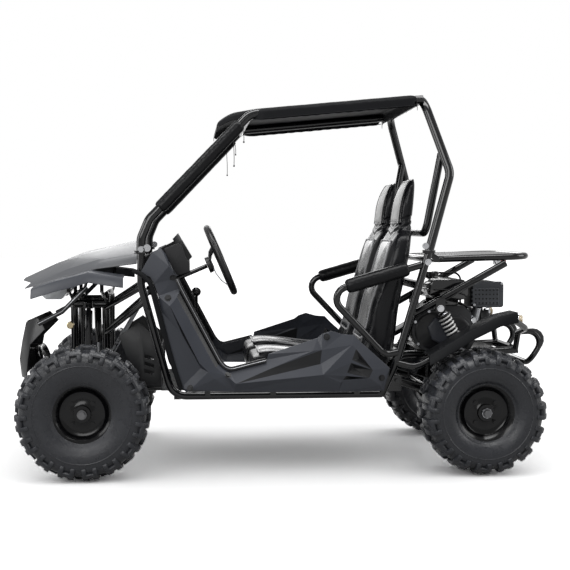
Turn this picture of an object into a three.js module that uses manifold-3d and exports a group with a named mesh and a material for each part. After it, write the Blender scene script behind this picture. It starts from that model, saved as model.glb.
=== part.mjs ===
// Off road go kart: two bucket seats, a bolted roll cage, a single front arm on each side,
// a sprung rear swing arm with a live axle, and a small air cooled engine behind the seats.
// Millimetres. +X is forward, +Y is left, +Z is up; the ground is Z 0.
import * as THREE from 'three';
import { mergeVertices } from 'three/addons/utils/BufferGeometryUtils.js';
import Module from 'manifold-3d';

const wasm = await Module();
wasm.setup();

// Driving dimensions: the vehicle
const WHEELBASE = 1450;
const FRONT_OVERHANG = 270;
const REAR_OVERHANG = 308;
const FRONT_AXLE_X = (WHEELBASE + REAR_OVERHANG - FRONT_OVERHANG) / 2;
const REAR_AXLE_X = FRONT_AXLE_X - WHEELBASE;
const NOSE_X = FRONT_AXLE_X + FRONT_OVERHANG;
const TAIL_X = REAR_AXLE_X - REAR_OVERHANG;
const FRONT_TRACK = 902;
const REAR_TRACK = 849;
const CLEAR = 0.4;
const PIN_PLAY = 0.7;
const RUNNING_GAP = 3;
const OVERRUN = 20;
const FACET_TOLERANCE = 0.6;
const FRAME_TOLERANCE = 1.2;

// Driving dimensions: wheels and tyres
const FRONT_TYRE = { outer: 482.6, width: 178, lugs: 14 };
const REAR_TYRE = { outer: 457.2, width: 241, lugs: 14 };
const RIM_SEAT = 203;
const RIM_FLANGE = 233;
const RIM_WALL = 4;
const FRONT_RIM_WIDTH = 140;
const REAR_RIM_WIDTH = 190;
const TYRE_WALL = 9;
const LUG_HEIGHT = 15;
const HUB_BORE = 26;
const HUB_OUTER = 52;

// Driving dimensions: tubes of the frame and the cage
const FRAME_TUBE = 28;
const CAGE_TUBE = 32;
const LIGHT_TUBE = 22;
const RAIL_Z = 284;
const RAIL_Y = 372;
const CAGE_FOOT_Y = 440;
const CAGE_TOP_Y = 368;
const CAGE_JOINT_Z = 812;
const BEND_RADIUS = 70;
const TIGHT_BEND = 45;
const CAGE_SIDES = 8;
const TUBE_SIDES = 6;
const HIDDEN_SIDES = 6;
const PIN_SIDES = 8;
const PIN_FLAT_SHARE = Math.cos(Math.PI / PIN_SIDES);
const turningBore = (size) => (size + 2 * CLEAR) / PIN_FLAT_SHARE;
const SLAT_SIDES = 4;
const BEND_STEP = Math.PI / 6;

// Driving dimensions: panels and soft parts
const PANEL_WALL = 4;
const SHEET_WALL = 3;
const PANEL_Y = 474;
const PAD_OUTER = 50;
const BAR_PAD_OUTER = 56;

const vec = (x, y, z) => new THREE.Vector3(x, y, z);
// Places: lengths run from the middle between the axles, widths from the kart's middle, heights from the
// ground
const AXLES_MIDDLE_X = (FRONT_AXLE_X + REAR_AXLE_X) / 2;
const along = (lengthShare) => AXLES_MIDDLE_X + lengthShare * WHEELBASE;
const across = (widthShare) => widthShare * CAGE_FOOT_Y;
const above = (heightShare) => heightShare * CAGE_JOINT_Z;
const spot = (lengthShare, widthShare, heightShare) =>
  vec(along(lengthShare), across(widthShare), above(heightShare));
const noseBack = (setBackShare) => NOSE_X - setBackShare * FRONT_OVERHANG;
const noseSpot = (setBackShare, widthShare, heightShare) =>
  vec(noseBack(setBackShare), across(widthShare), above(heightShare));
const outlineAt = (shares) => shares.map(([lengthShare, heightShare]) =>
  [along(lengthShare), above(heightShare)]);
const AXIS = { x: vec(1, 0, 0), y: vec(0, 1, 0), z: vec(0, 0, 1) };

// A route of straight stretches joined by arcs, sampled only where it needs it
class BentRoute extends THREE.Curve {
  constructor(corners, radius) {
    super();
    this.points = [corners[0]];
    for (let i = 1; i < corners.length - 1; i += 1) this.addBend(corners[i - 1], corners[i],
      corners[i + 1], radius);
    this.points.push(corners[corners.length - 1]);
  }

  addBend(before, corner, after, radius) {
    const back = before.clone().sub(corner);
    const ahead = after.clone().sub(corner);
    const room = Math.min(back.length(), ahead.length()) * 0.49;
    back.normalize();
    ahead.normalize();
    const turn = Math.PI - back.angleTo(ahead);
    const reach = Math.min(radius * Math.tan(turn / 2), room);
    const bend = reach / Math.tan(turn / 2);
    const inward = back.clone().add(ahead).normalize();
    const centre = corner.clone().addScaledVector(inward, bend / Math.cos(turn / 2));
    const start = corner.clone().addScaledVector(back, reach).sub(centre);
    const end = corner.clone().addScaledVector(ahead, reach).sub(centre);
    const normal = start.clone().cross(end).normalize();
    const steps = Math.max(1, Math.ceil(turn / BEND_STEP));
    for (let i = 0; i <= steps; i += 1) {
      const arm = start.clone().applyAxisAngle(normal, (turn * i) / steps);
      this.points.push(centre.clone().add(arm));
    }
  }

  getPoint(t) {
    const place = t * (this.points.length - 1);
    const i = Math.min(Math.floor(place + 1e-9), this.points.length - 2);
    return this.points[i].clone().lerp(this.points[i + 1], place - i);
  }

  getUtoTmapping(u) {
    return u;
  }

  getTangent(t) {
    const i = Math.round(t * (this.points.length - 1));
    const here = this.points[i];
    const tangent = vec(0, 0, 0);
    if (i > 0) tangent.add(here.clone().sub(this.points[i - 1]).normalize());
    if (i < this.points.length - 1) tangent.add(this.points[i + 1].clone().sub(here).normalize());
    return tangent.normalize();
  }
}

// Turns a closed mesh into a solid for cutting and joining, and back
function toSolid(geometry) {
  const plain = geometry.clone();
  plain.deleteAttribute('normal');
  plain.deleteAttribute('uv');
  const merged = mergeVertices(plain, 1e-3);
  return new wasm.Manifold(new wasm.Mesh({
    numProp: 3,
    vertProperties: Float32Array.from(merged.attributes.position.array),
    triVerts: Uint32Array.from(merged.index.array),
  }));
}

function toGeometry(solid) {
  const mesh = solid.getMesh();
  const geometry = new THREE.BufferGeometry();
  geometry.setAttribute('position', new THREE.Float32BufferAttribute(mesh.vertProperties, 3));
  geometry.setIndex(Array.from(mesh.triVerts));
  return geometry;
}

const join = (...solids) => solids.flat().reduce((whole, piece) => whole.add(piece));
const cut = (body, ...tools) => tools.flat().reduce((whole, tool) => whole.subtract(tool), body);
const mirrored = (solid) => solid.mirror([0, 1, 0]);
const both = (solid) => [solid, mirrored(solid)];

// Basic solids
function box(x0, x1, y0, y1, z0, z1) {
  const geometry = new THREE.BoxGeometry(x1 - x0, y1 - y0, z1 - z0);
  geometry.translate((x0 + x1) / 2, (y0 + y1) / 2, (z0 + z1) / 2);
  return toSolid(geometry);
}

function rod(from, to, diameter, sides = TUBE_SIDES) {
  const along = to.clone().sub(from);
  const geometry = new THREE.CylinderGeometry(diameter / 2, diameter / 2, along.length(), sides);
  geometry.applyQuaternion(new THREE.Quaternion().setFromUnitVectors(AXIS.y, along.clone().normalize()));
  geometry.translate(...from.clone().add(to).divideScalar(2).toArray());
  return toSolid(geometry);
}

const disc = (centre, axis, diameter, thickness, sides = 24) => {
  const half = axis.clone().multiplyScalar(thickness / 2);
  return rod(centre.clone().sub(half), centre.clone().add(half), diameter, sides);
};

// A round section as a shape, with an optional bore
function ringShape(outer, bore, sides) {
  const ring = (diameter) => Array.from({ length: sides }, (_, i) => {
    const angle = (2 * Math.PI * (i + 0.5)) / sides;
    return new THREE.Vector2(Math.cos(angle) * (diameter / 2), Math.sin(angle) * (diameter / 2));
  });
  const shape = new THREE.Shape(ring(outer));
  if (bore) shape.holes.push(new THREE.Path(ring(bore).reverse()));
  return shape;
}

function sweep(shape, route) {
  return toSolid(new THREE.ExtrudeGeometry(shape, { steps: route.points.length - 1, extrudePath: route }));
}

const tube = (corners, diameter, radius = BEND_RADIUS, sides = TUBE_SIDES) => (
  sweep(ringShape(diameter, 0, sides), new BentRoute(corners, radius)));

// A flat outline in X and Z, given a thickness along Y
function sidePlate(outline, y0, y1, holes = []) {
  const shape = new THREE.Shape(outline.map(([x, z]) => new THREE.Vector2(x, z)));
  holes.forEach((hole) => shape.holes.push(new THREE.Path(hole.map(([x, z]) => new THREE.Vector2(x, z)))));
  const geometry = new THREE.ExtrudeGeometry(shape, { depth: y1 - y0, bevelEnabled: false });
  geometry.rotateX(Math.PI / 2);
  geometry.translate(0, y1, 0);
  return toSolid(geometry);
}

// A turned piece: profile points are [radius, distance along the axis]
function turned(profile, centre, axis, segments) {
  const points = profile.map(([radius, along]) => new THREE.Vector2(radius, along));
  const geometry = new THREE.LatheGeometry(points, segments);
  geometry.applyQuaternion(new THREE.Quaternion().setFromUnitVectors(AXIS.y, axis));
  geometry.translate(...centre.toArray());
  const solid = toSolid(geometry);
  return solid;
}

// A moulded panel of flat facets with a constant wall: the faces' corners lie at named points
function facetShell(points, faces, push) {
  const count = points.length;
  const positions = [...points, ...points.map((point) => point.clone().add(push))].flatMap((p) =>
    p.toArray());
  const facesOut = ([a, b, c]) =>
    points[b].clone().sub(points[a]).cross(points[c].clone().sub(points[a])).dot(push) < 0;
  const triangles = faces.flatMap((face) => face.slice(2).map((_, i) => [face[0], face[i + 1], face[i + 2]]))
    .map(([a, b, c]) => (facesOut([a, b, c]) ? [a, b, c] : [a, c, b]));
  const index = triangles.flat();
  triangles.forEach(([a, b, c]) => index.push(a + count, c + count, b + count));
  const edges = new Set(triangles.flatMap(([a, b, c]) => [`${a},${b}`, `${b},${c}`, `${c},${a}`]));
  edges.forEach((edge) => {
    const [a, b] = edge.split(',').map(Number);
    if (!edges.has(`${b},${a}`)) index.push(b, a, a + count, b, a + count, b + count);
  });
  const geometry = new THREE.BufferGeometry();
  geometry.setAttribute('position', new THREE.Float32BufferAttribute(positions, 3));
  geometry.setIndex(index);
  return toSolid(geometry);
}

// Paints and materials, from the photograph
const finish = (color, roughness, metalness) =>
  new THREE.MeshStandardMaterial({ color, roughness, metalness });
const BLACK_PAINT = finish(0x0b0c0e, 0.25, 0.4);
const PANEL_PLASTIC = finish(0x3a3d47, 0.5, 0);
const DARK_PLASTIC = finish(0x16171a, 0.55, 0);
const VINYL = finish(0x121316, 0.6, 0);
const SEAT_VINYL = finish(0x2a2c31, 0.45, 0);
const RUBBER = finish(0x17191d, 0.75, 0);
const STEEL = finish(0xa6a9ad, 0.35, 0.9);
const WHITE_SPRING = finish(0xe8e8e4, 0.4, 0.1);
const ALLOY = finish(0xb9bbbd, 0.4, 0.9);
const LENS = finish(0xdfe6ea, 0.05, 0);

const kart = new THREE.Group();
function add(name, solid, material, tolerance = FACET_TOLERANCE) {
  const mesh = new THREE.Mesh(toGeometry(solid.simplify(tolerance)), material);
  mesh.name = name;
  kart.add(mesh);
}
function addPair(name, solid, material) {
  add(`${name}_left`, solid, material);
  add(`${name}_right`, mirrored(solid), material);
}

// Wheels: a deep pressed steel rim and an open tyre with paired shoulder lugs
const FRONT_WHEEL = vec(FRONT_AXLE_X, FRONT_TRACK / 2, FRONT_TYRE.outer / 2);
const REAR_WHEEL = vec(REAR_AXLE_X, REAR_TRACK / 2, REAR_TYRE.outer / 2);
const WHEEL_SIDES = 16;
const RIM_DISH_DEPTH = 34;
const RIM_HUB_DEPTH = 24;
const RIM_BEAD_WIDTH = 20;
const LUG_SHARES = { lug: 0.52, valley: 0.76 };
const SIDE_SHARES = { bulge: 0.42, step: 0.5, shoulder: 0.28, edge: 0.8 };
const BEAD_GAP = 0.5;

function makeRim(centre, width, hubBore) {
  const seat = RIM_SEAT / 2;
  const flange = RIM_FLANGE / 2;
  const well = seat - RIM_BEAD_WIDTH;
  const out = width / 2;
  const face = out - RIM_DISH_DEPTH;
  const hubFace = face + RIM_HUB_DEPTH;
  return turned([
    [hubBore / 2, face - RIM_HUB_DEPTH], [HUB_OUTER / 2, face - RIM_HUB_DEPTH],
      [HUB_OUTER / 2, face - RIM_WALL],
    [well - RIM_WALL, face - RIM_WALL], [well - RIM_WALL, -out + RIM_BEAD_WIDTH], [flange, -out],
    [seat, -out + 2 * RIM_WALL], [well, -out + RIM_BEAD_WIDTH], [well, out - RIM_BEAD_WIDTH],
    [seat, out - 2 * RIM_WALL], [flange, out], [well - RIM_WALL, out - RIM_BEAD_WIDTH],
    [well - RIM_WALL, face + RIM_WALL], [HUB_OUTER / 2, face + RIM_WALL], [HUB_OUTER / 2, hubFace],
    [hubBore / 2, hubFace], [hubBore / 2, face - RIM_HUB_DEPTH],
  ], centre, AXIS.y, WHEEL_SIDES);
}

// The tyre is a grid round its axis, so that its lugs are whole columns of that grid
function makeTyre(centre, tyre, rimWidth) {
  const crown = tyre.outer / 2;
  const half = tyre.width / 2;
  const bead = RIM_SEAT / 2 + BEAD_GAP;
  const beadOut = rimWidth / 2 - 2 * RIM_WALL - BEAD_GAP;
  const sideHeight = crown - bead;
  const profile = (lug) => {
    const tread = crown - (1 - lug) * LUG_HEIGHT;
    const shoulder = half - (1 - lug) * LUG_HEIGHT * SIDE_SHARES.step;
    const outer = [
      [bead, beadOut], [bead + sideHeight * SIDE_SHARES.bulge, half - LUG_HEIGHT * SIDE_SHARES.step],
      [crown - sideHeight * SIDE_SHARES.shoulder, shoulder],
      [tread, shoulder * SIDE_SHARES.edge],
    ];
    const inner = [
      [crown - LUG_HEIGHT - TYRE_WALL, half * SIDE_SHARES.edge], [bead, beadOut - TYRE_WALL],
    ];
    return [...outer, ...outer.slice(0).reverse().map(([r, a]) => [r, -a]),
      ...inner.slice(0).reverse().map(([r, a]) => [r, -a]), ...inner];
  };
  const pitch = (2 * Math.PI) / tyre.lugs;
  const columns = Array.from({ length: tyre.lugs }, (_, i) => [
    [i * pitch, 1], [(i + LUG_SHARES.lug) * pitch, 1], [(i + LUG_SHARES.valley) * pitch, 0],
  ]).flat();
  const rows = columns.map(([angle, lug]) => profile(lug).map(([radius, along]) => [
    Math.cos(angle) * radius, along, Math.sin(angle) * radius]));
  const size = rows[0].length;
  const index = [];
  rows.forEach((_, c) => {
    const next = (c + 1) % rows.length;
    for (let i = 0; i < size; i += 1) {
      const j = (i + 1) % size;
      index.push(c * size + i, next * size + i, c * size + j, c * size + j, next * size + i, next * size + j);
    }
  });
  const geometry = new THREE.BufferGeometry();
  geometry.setAttribute('position', new THREE.Float32BufferAttribute(rows.flat(2), 3));
  geometry.setIndex(index);
  geometry.translate(...centre.toArray());
  return toSolid(geometry);
}

addPair('front_rim', makeRim(FRONT_WHEEL, FRONT_RIM_WIDTH, HUB_BORE), BLACK_PAINT);
addPair('front_tyre', makeTyre(FRONT_WHEEL, FRONT_TYRE, FRONT_RIM_WIDTH), RUBBER);
addPair('rear_rim', makeRim(REAR_WHEEL, REAR_RIM_WIDTH, HUB_BORE), BLACK_PAINT);
addPair('rear_tyre', makeTyre(REAR_WHEEL, REAR_TYRE, REAR_RIM_WIDTH), RUBBER);

// Places shared by the frame and what it carries
const SIDE_FOOT = vec(along(0.35724), CAGE_FOOT_Y, CAGE_JOINT_Z);
const REAR_FOOT = vec(along(-0.36138), CAGE_FOOT_Y, CAGE_JOINT_Z);
const REAR_LOWER = vec(along(-0.25103), RAIL_Y, RAIL_Z);
const FRONT_CORNER_X = along(0.28345);
const FLOOR_FRONT_X = along(0.31103);
const SEAT_BEAMS = [-0.18552, 0.00069].map(along);
const SEAT_PAD = { half: 20, near: across(0.29545), far: across(0.65909) };
const TUBE_BITE = 4;
const FLANGE_RIM = 8;
const FLANGE_OUTER = CAGE_TUBE + 2 * FLANGE_RIM;
const NOSE_RAIL_Y = across(0.25455);
const NOSE_TUBE_X = noseBack(0.2444);
const ARM_PIVOT = { y: across(0.35909), z: RAIL_Z, rod: 12, front: along(0.55931), rear: along(0.43655),
  sleeve: 34, outer: 26 };
const TOWER = { front: along(0.53862), rear: along(0.45724), top: above(0.78818), y: across(0.39091) };
const CRADLE = { y: across(0.34091), z: above(0.49754), back: along(-0.64069), rise: 16 };
const BUMPER_HOLD = 10;
const BUMPER = { y: across(0.43182), corner: 29.9, top: above(0.61576), root: above(0.60837),
  bottom: above(0.45813), lower: along(-0.66966) };
const SWING_PIVOT = { x: along(-0.30276), z: above(0.39163), rod: 16, y: across(0.53636) };
const NERF = { y: across(1.02727), x: along(-0.56483), z: above(0.70690),
  low: { x: along(-0.3269), z: above(0.48153) } };
const STRUT = { foot: spot(-0.34276, 0.59545, 0.69704), head: spot(-0.59103, 0.59545, 0.94212) };
const RACK = { y: across(0.59545), front: along(-0.38552), back: along(-0.65448), z: above(0.95936),
  slopeShare: 0.03, slat: 14, bar: 16, loop: 25, earY: across(0.86364) };
const TAB = 6;
const TAB_REACH = 18;
const SHOCK_TOP = spot(-0.41655, 0.59545, 0.7303);
const SHOCK_FOOT = spot(-0.47379, 0.59545, 0.53448);
const STRUT_EYE = spot(0.49862, 0.48636, 0.74877);
const STRUT_INSET = 165;
const STRUT_FOOT = vec(along(0.49862), FRONT_WHEEL.y - STRUT_INSET, above(0.39163));
const SHOCK_PIN = 10;

// The column: wheel, shaft, universal joint and lower shaft
const WHEEL_CENTRE = spot(0.15724, 0.45455, 0.9569);
const COLUMN_AXIS = vec(-0.92, 0, 0.39).normalize();
const COLUMN_REACH = 300;
const COLUMN_END = WHEEL_CENTRE.clone().addScaledVector(COLUMN_AXIS, -COLUMN_REACH);
const PITMAN_SET_BACK = 30;
const PITMAN = { x: FRONT_AXLE_X - PITMAN_SET_BACK, y: 0, z: above(0.4064), arm: 80, bushUp: 66, half: 10 };
const LOWER_END = vec(PITMAN.x, PITMAN.y, PITMAN.z);
const FENDER = { innerShares: [0.55455, 0.69091, 0.79091], crown: 6, lipOut: 14, lipDown: 34 };
const REAR_FENDER_Y = across(1.09545);
const COLUMN_BUSH = { outer: 34, length: 50, foot: 14, share: 0.82 };
const SHAFT = 18;

const PANEL_STAY = { grow: 160, rod: 16, z: above(0.41379), half: 10, foot: 8,
  feet: [0.19379, 0.02828, -0.18552].map(along) };
const STAY_BAR = 14;
const FENDER_STAY = { y: across(0.84091), kneeZ: above(0.82512), footZ: above(0.76355),
  topZ: above(0.93596), rear: [-0.4269, -0.51655].map(along), bar: 12 };
const SHOCK_EYE_WIDTH = 20;
const SWING_BUSH = 40;
const SEAT_REST_Z = above(0.37685);
const ENGINE_PLATE_Z = CRADLE.z + FRAME_TUBE / 2;
const ENGINE_BASE_Z = ENGINE_PLATE_Z + 2 * TUBE_BITE;
function makeFrame() {
  const side = tube([REAR_LOWER, vec(FRONT_CORNER_X, RAIL_Y, RAIL_Z),
    vec(SIDE_FOOT.x, CAGE_FOOT_Y, above(0.84975)),
    SIDE_FOOT], FRAME_TUBE, BEND_RADIUS, HIDDEN_SIDES);
  const rearPost = tube([REAR_LOWER, vec(along(-0.28207), CAGE_FOOT_Y, above(0.51724)), REAR_FOOT],
    FRAME_TUBE);
  const crossAt = (x, y, z, size = FRAME_TUBE - 2) =>
    box(x - size / 2, x + size / 2, -y, y, z - size / 2, z + size / 2);
  const nose = tube([vec(along(0.15241), NOSE_RAIL_Y, RAIL_Z), vec(noseBack(0.4037), NOSE_RAIL_Y, RAIL_Z),
    vec(NOSE_TUBE_X, NOSE_RAIL_Y, above(0.52956)),
    vec(NOSE_TUBE_X, -NOSE_RAIL_Y, above(0.52956)), vec(noseBack(0.4037), -NOSE_RAIL_Y, RAIL_Z),
      vec(along(0.15241), -NOSE_RAIL_Y, RAIL_Z)], FRAME_TUBE, BEND_RADIUS, HIDDEN_SIDES);
  const towerAt = (x) => tube([vec(x, NOSE_RAIL_Y, RAIL_Z), vec(x, TOWER.y, TOWER.top),
    vec(x, -TOWER.y, TOWER.top), vec(x, -NOSE_RAIL_Y, RAIL_Z)], FRAME_TUBE, TIGHT_BEND, HIDDEN_SIDES);
  const railZ = TOWER.top - FRAME_TUBE;
  const towerRail = rod(vec(TOWER.rear, TOWER.y - TUBE_BITE, railZ),
    vec(TOWER.front, TOWER.y - TUBE_BITE, railZ), FRAME_TUBE, HIDDEN_SIDES);
  const upperBrace = rod(vec(along(0.35379), CAGE_FOOT_Y - TUBE_BITE, above(0.84975)),
    vec(TOWER.rear, TOWER.y - 2 * TUBE_BITE, above(0.73399)), LIGHT_TUBE, HIDDEN_SIDES);
  const lowerBrace = rod(vec(along(0.34552), CAGE_FOOT_Y - 3 * TUBE_BITE, above(0.78818)),
    vec(TOWER.rear, across(0.34091), above(0.61576)), LIGHT_TUBE, HIDDEN_SIDES);
  const cradle = tube([vec(REAR_LOWER.x, CRADLE.y, RAIL_Z), vec(along(-0.32345), CRADLE.y, CRADLE.z),
    vec(CRADLE.back, CRADLE.y, CRADLE.z + CRADLE.rise)], FRAME_TUBE, BEND_RADIUS, HIDDEN_SIDES);
  const bumper = tube([vec(CRADLE.back + BUMPER_HOLD, BUMPER.y, BUMPER.root),
    vec(TAIL_X + LIGHT_TUBE / 2 - BUMPER.corner, BUMPER.y, BUMPER.top),
    vec(BUMPER.lower, BUMPER.y, BUMPER.bottom), vec(BUMPER.lower, -BUMPER.y, BUMPER.bottom),
    vec(TAIL_X + LIGHT_TUBE / 2 - BUMPER.corner, -BUMPER.y, BUMPER.top),
      vec(CRADLE.back + BUMPER_HOLD, -BUMPER.y, BUMPER.root)],
  LIGHT_TUBE, TIGHT_BEND);
  const nerf = tube([vec(along(-0.27931), CAGE_FOOT_Y, above(0.50246)),
    vec(NERF.low.x, NERF.y, NERF.low.z), vec(NERF.x, NERF.y, NERF.z),
    spot(-0.63379, 0.75, 0.64039), vec(CRADLE.back, BUMPER.y, BUMPER.root)], LIGHT_TUBE);
  const bumperStay = rod(vec(CRADLE.back, CRADLE.y, CRADLE.z + CRADLE.rise),
    vec(CRADLE.back, BUMPER.y, BUMPER.root), LIGHT_TUBE, HIDDEN_SIDES);
  const strutFoot = rod(vec(along(-0.31931), CAGE_FOOT_Y, above(0.7266)), STRUT.foot, FRAME_TUBE,
    HIDDEN_SIDES);
  const strut = rod(STRUT.foot, STRUT.head, FRAME_TUBE);
  const strutStay = rod(STRUT.foot, vec(along(-0.32345), CRADLE.y, CRADLE.z), FRAME_TUBE, HIDDEN_SIDES);
  const armPivot = rod(vec(ARM_PIVOT.rear - ARM_PIVOT.sleeve, ARM_PIVOT.y, ARM_PIVOT.z),
    vec(ARM_PIVOT.front + ARM_PIVOT.sleeve, ARM_PIVOT.y, ARM_PIVOT.z),
    ARM_PIVOT.rod, HIDDEN_SIDES);
  const armTabs = [ARM_PIVOT.rear, ARM_PIVOT.front].flatMap((x) => [-1, 1].map((way) => {
    const at = x + way * (ARM_PIVOT.sleeve / 2 + TAB / 2 + CLEAR);
    return box(at - TAB / 2, at + TAB / 2, NOSE_RAIL_Y, ARM_PIVOT.y + TAB, ARM_PIVOT.z - TAB_REACH / 2,
      ARM_PIVOT.z + TAB_REACH / 2);
  }));
  const eyePlates = [1, -1].map((way) => {
    const x = STRUT_EYE.x + way * (SHOCK_EYE_WIDTH / 2 + CLEAR + TAB / 2);
    return box(x - TAB / 2, x + TAB / 2, TOWER.y - OVERRUN, STRUT_EYE.y + 2 * TAB, STRUT_EYE.z - 2 * TAB,
      STRUT_EYE.z + 2 * TAB);
  });
  const pinThrough = (centre, axis) => disc(centre, axis, SHOCK_PIN, 2 * OVERRUN, HIDDEN_SIDES);
  const eyePin = pinThrough(STRUT_EYE, AXIS.x);
  const shockTabs = [-1, 1].map((way) => {
    const at = SHOCK_TOP.y + way * (SHOCK_EYE_WIDTH / 2 + CLEAR + TAB / 2);
    return box(SHOCK_TOP.x - TAB_REACH, SHOCK_TOP.x + TAB_REACH, at - TAB / 2, at + TAB / 2,
      SHOCK_TOP.z - 2 * TAB, SHOCK_TOP.z + 6 * TAB);
  });
  const shockPin = pinThrough(SHOCK_TOP, AXIS.y);
  const swingTabs = [-1, 1].map((way) => {
    const at = SWING_PIVOT.y + way * (SWING_BUSH / 2 + TAB / 2 + CLEAR);
    return box(SWING_PIVOT.x - TAB_REACH, REAR_LOWER.x, at - TAB / 2, at + TAB / 2, RAIL_Z - TAB,
      SWING_PIVOT.z + TAB_REACH);
  });
  const swingRod = rod(vec(SWING_PIVOT.x, -SWING_PIVOT.y - SWING_BUSH, SWING_PIVOT.z),
    vec(SWING_PIVOT.x, SWING_PIVOT.y + SWING_BUSH, SWING_PIVOT.z),
    SWING_PIVOT.rod, PIN_SIDES);
  const seatBeams = SEAT_BEAMS.map((x) => crossAt(x, RAIL_Y, RAIL_Z));
  const dashBeam = crossAt(along(0.3531), CAGE_FOOT_Y, above(0.88177));
  const backBeam = crossAt(along(-0.33586), across(0.99545), above(0.84975));
  const columnBush = rod(
    WHEEL_CENTRE.clone().addScaledVector(COLUMN_AXIS,
      -COLUMN_REACH * COLUMN_BUSH.share - COLUMN_BUSH.length / 2),
    WHEEL_CENTRE.clone().addScaledVector(COLUMN_AXIS,
      -COLUMN_REACH * COLUMN_BUSH.share + COLUMN_BUSH.length / 2),
    COLUMN_BUSH.outer, PIN_SIDES);
  const bushAt = WHEEL_CENTRE.clone().addScaledVector(COLUMN_AXIS, -COLUMN_REACH * COLUMN_BUSH.share);
  const columnPlate = sidePlate([[bushAt.x - COLUMN_BUSH.foot, bushAt.z + 2 * TUBE_BITE],
    [bushAt.x + COLUMN_BUSH.foot, bushAt.z + TUBE_BITE],
     [along(0.35931), above(0.87192)], [along(0.35931), above(0.89409)], [along(0.34552), above(0.89655)]],
    bushAt.y - TAB / 2, bushAt.y + TAB / 2);
  const lowerBushAt = LOWER_END.clone().addScaledVector(COLUMN_END.clone().sub(LOWER_END).normalize(),
    PITMAN.bushUp);
  const lowerBush = box(lowerBushAt.x - OVERRUN, lowerBushAt.x + OVERRUN, -NOSE_RAIL_Y, NOSE_RAIL_Y,
    lowerBushAt.z - TAB / 2, lowerBushAt.z + TAB / 2);
  const lowerFeet = both(box(lowerBushAt.x - OVERRUN, lowerBushAt.x + OVERRUN, NOSE_RAIL_Y - TAB,
    NOSE_RAIL_Y, RAIL_Z, lowerBushAt.z + TAB / 2));
  const pads = SEAT_BEAMS.flatMap((x) =>
    both(box(x - SEAT_PAD.half, x + SEAT_PAD.half, SEAT_PAD.near, SEAT_PAD.far, RAIL_Z, SEAT_REST_Z)));
  const enginePlate = box(along(-0.59241), along(-0.37172), -CRADLE.y, CRADLE.y, ENGINE_PLATE_Z,
    ENGINE_BASE_Z);
  const footPlates = [SIDE_FOOT,
    REAR_FOOT].flatMap((foot) => both(disc(foot.clone().setZ(foot.z - TAB / 2), AXIS.z, FLANGE_OUTER, TAB,
    PIN_SIDES)));
  const seatUnder = PANEL_WALL + CLEAR;
  const sideSeat = makeBodySide(PANEL_STAY.grow, seatUnder);
  const sideStays = [
    rod(vec(along(0.34069), CAGE_FOOT_Y - 4 * TUBE_BITE, above(0.73892)),
      vec(along(0.34069), PANEL_Y + OVERRUN, above(0.73892)), PANEL_STAY.rod),
    ...PANEL_STAY.feet.flatMap((x) => [
      box(x - PANEL_STAY.half, x + PANEL_STAY.half, RAIL_Y + TAB, RAIL_Y + TAB + PANEL_STAY.foot, RAIL_Z,
        PANEL_STAY.z),
      box(x - PANEL_STAY.half, x + PANEL_STAY.half, RAIL_Y + TAB, PANEL_Y + OVERRUN, PANEL_STAY.z - TAB,
        PANEL_STAY.z)]),
  ].map((stay) => cut(stay, sideSeat));
  const hoodStay = cut(rod(vec(TOWER.front, across(0.27273), TOWER.top),
    vec(TOWER.front, across(0.27273), SIDE_FOOT.z + 2 * OVERRUN), STAY_BAR, SLAT_SIDES),
    makeHood(PANEL_STAY.grow, seatUnder));
  const fenderStays = [TOWER.front, TOWER.rear].flatMap((x) => [
    rod(vec(x, TOWER.y - TAB, FENDER_STAY.footZ), vec(x, FENDER_STAY.y + TAB, FENDER_STAY.kneeZ),
      STAY_BAR, SLAT_SIDES),
    cut(rod(vec(x, FENDER_STAY.y, FENDER_STAY.kneeZ - TAB), vec(x, FENDER_STAY.y, FENDER_STAY.topZ),
      STAY_BAR, SLAT_SIDES),
      makeFrontFender(PANEL_STAY.grow, seatUnder))]);
  const nerfZ = (x) => NERF.low.z + ((NERF.low.x - x) / (NERF.low.x - NERF.x)) * (NERF.z - NERF.low.z);
  const rearFenderStays = FENDER_STAY.rear.map((x) => cut(
    rod(vec(x, NERF.y, nerfZ(x)), vec(x, NERF.y, NERF.z + 3 * OVERRUN), FENDER_STAY.bar, SLAT_SIDES),
    makeRearFender(PANEL_STAY.grow, seatUnder)));
  const oneSide = [side, rearPost, ...sideStays, hoodStay, ...fenderStays, ...rearFenderStays, towerRail,
    upperBrace, lowerBrace, cradle, nerf, bumperStay, strutFoot, strut, strutStay,
    armPivot, ...armTabs, ...eyePlates, eyePin, ...shockTabs, shockPin, ...swingTabs];
  const whole = join(...oneSide.flatMap(both), nose, towerAt(TOWER.front), towerAt(TOWER.rear), bumper,
    crossAt(REAR_LOWER.x, RAIL_Y, RAIL_Z), crossAt(FRONT_CORNER_X - OVERRUN, RAIL_Y, RAIL_Z), seatBeams,
      dashBeam, backBeam,
    swingRod, columnBush, columnPlate, lowerBush, lowerFeet, pads, enginePlate, footPlates,
    crossAt(CRADLE.back, CRADLE.y, CRADLE.z + CRADLE.rise), crossAt(along(-0.32345), CRADLE.y, CRADLE.z));
  const columnBore = rod(WHEEL_CENTRE, COLUMN_END, turningBore(SHAFT) + 2 * FRAME_TOLERANCE, PIN_SIDES);
  const lowerBore = rod(LOWER_END, COLUMN_END, turningBore(SHAFT) + 2 * FRAME_TOLERANCE, PIN_SIDES);
  const aboveJoint = box(TAIL_X, NOSE_X, -PANEL_Y, PANEL_Y, CAGE_JOINT_Z, CAGE_JOINT_Z + 2 * OVERRUN);
  return cut(whole, columnBore, lowerBore, aboveJoint);
}

add('main_frame', makeFrame(), BLACK_PAINT, FRAME_TOLERANCE);

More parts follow.
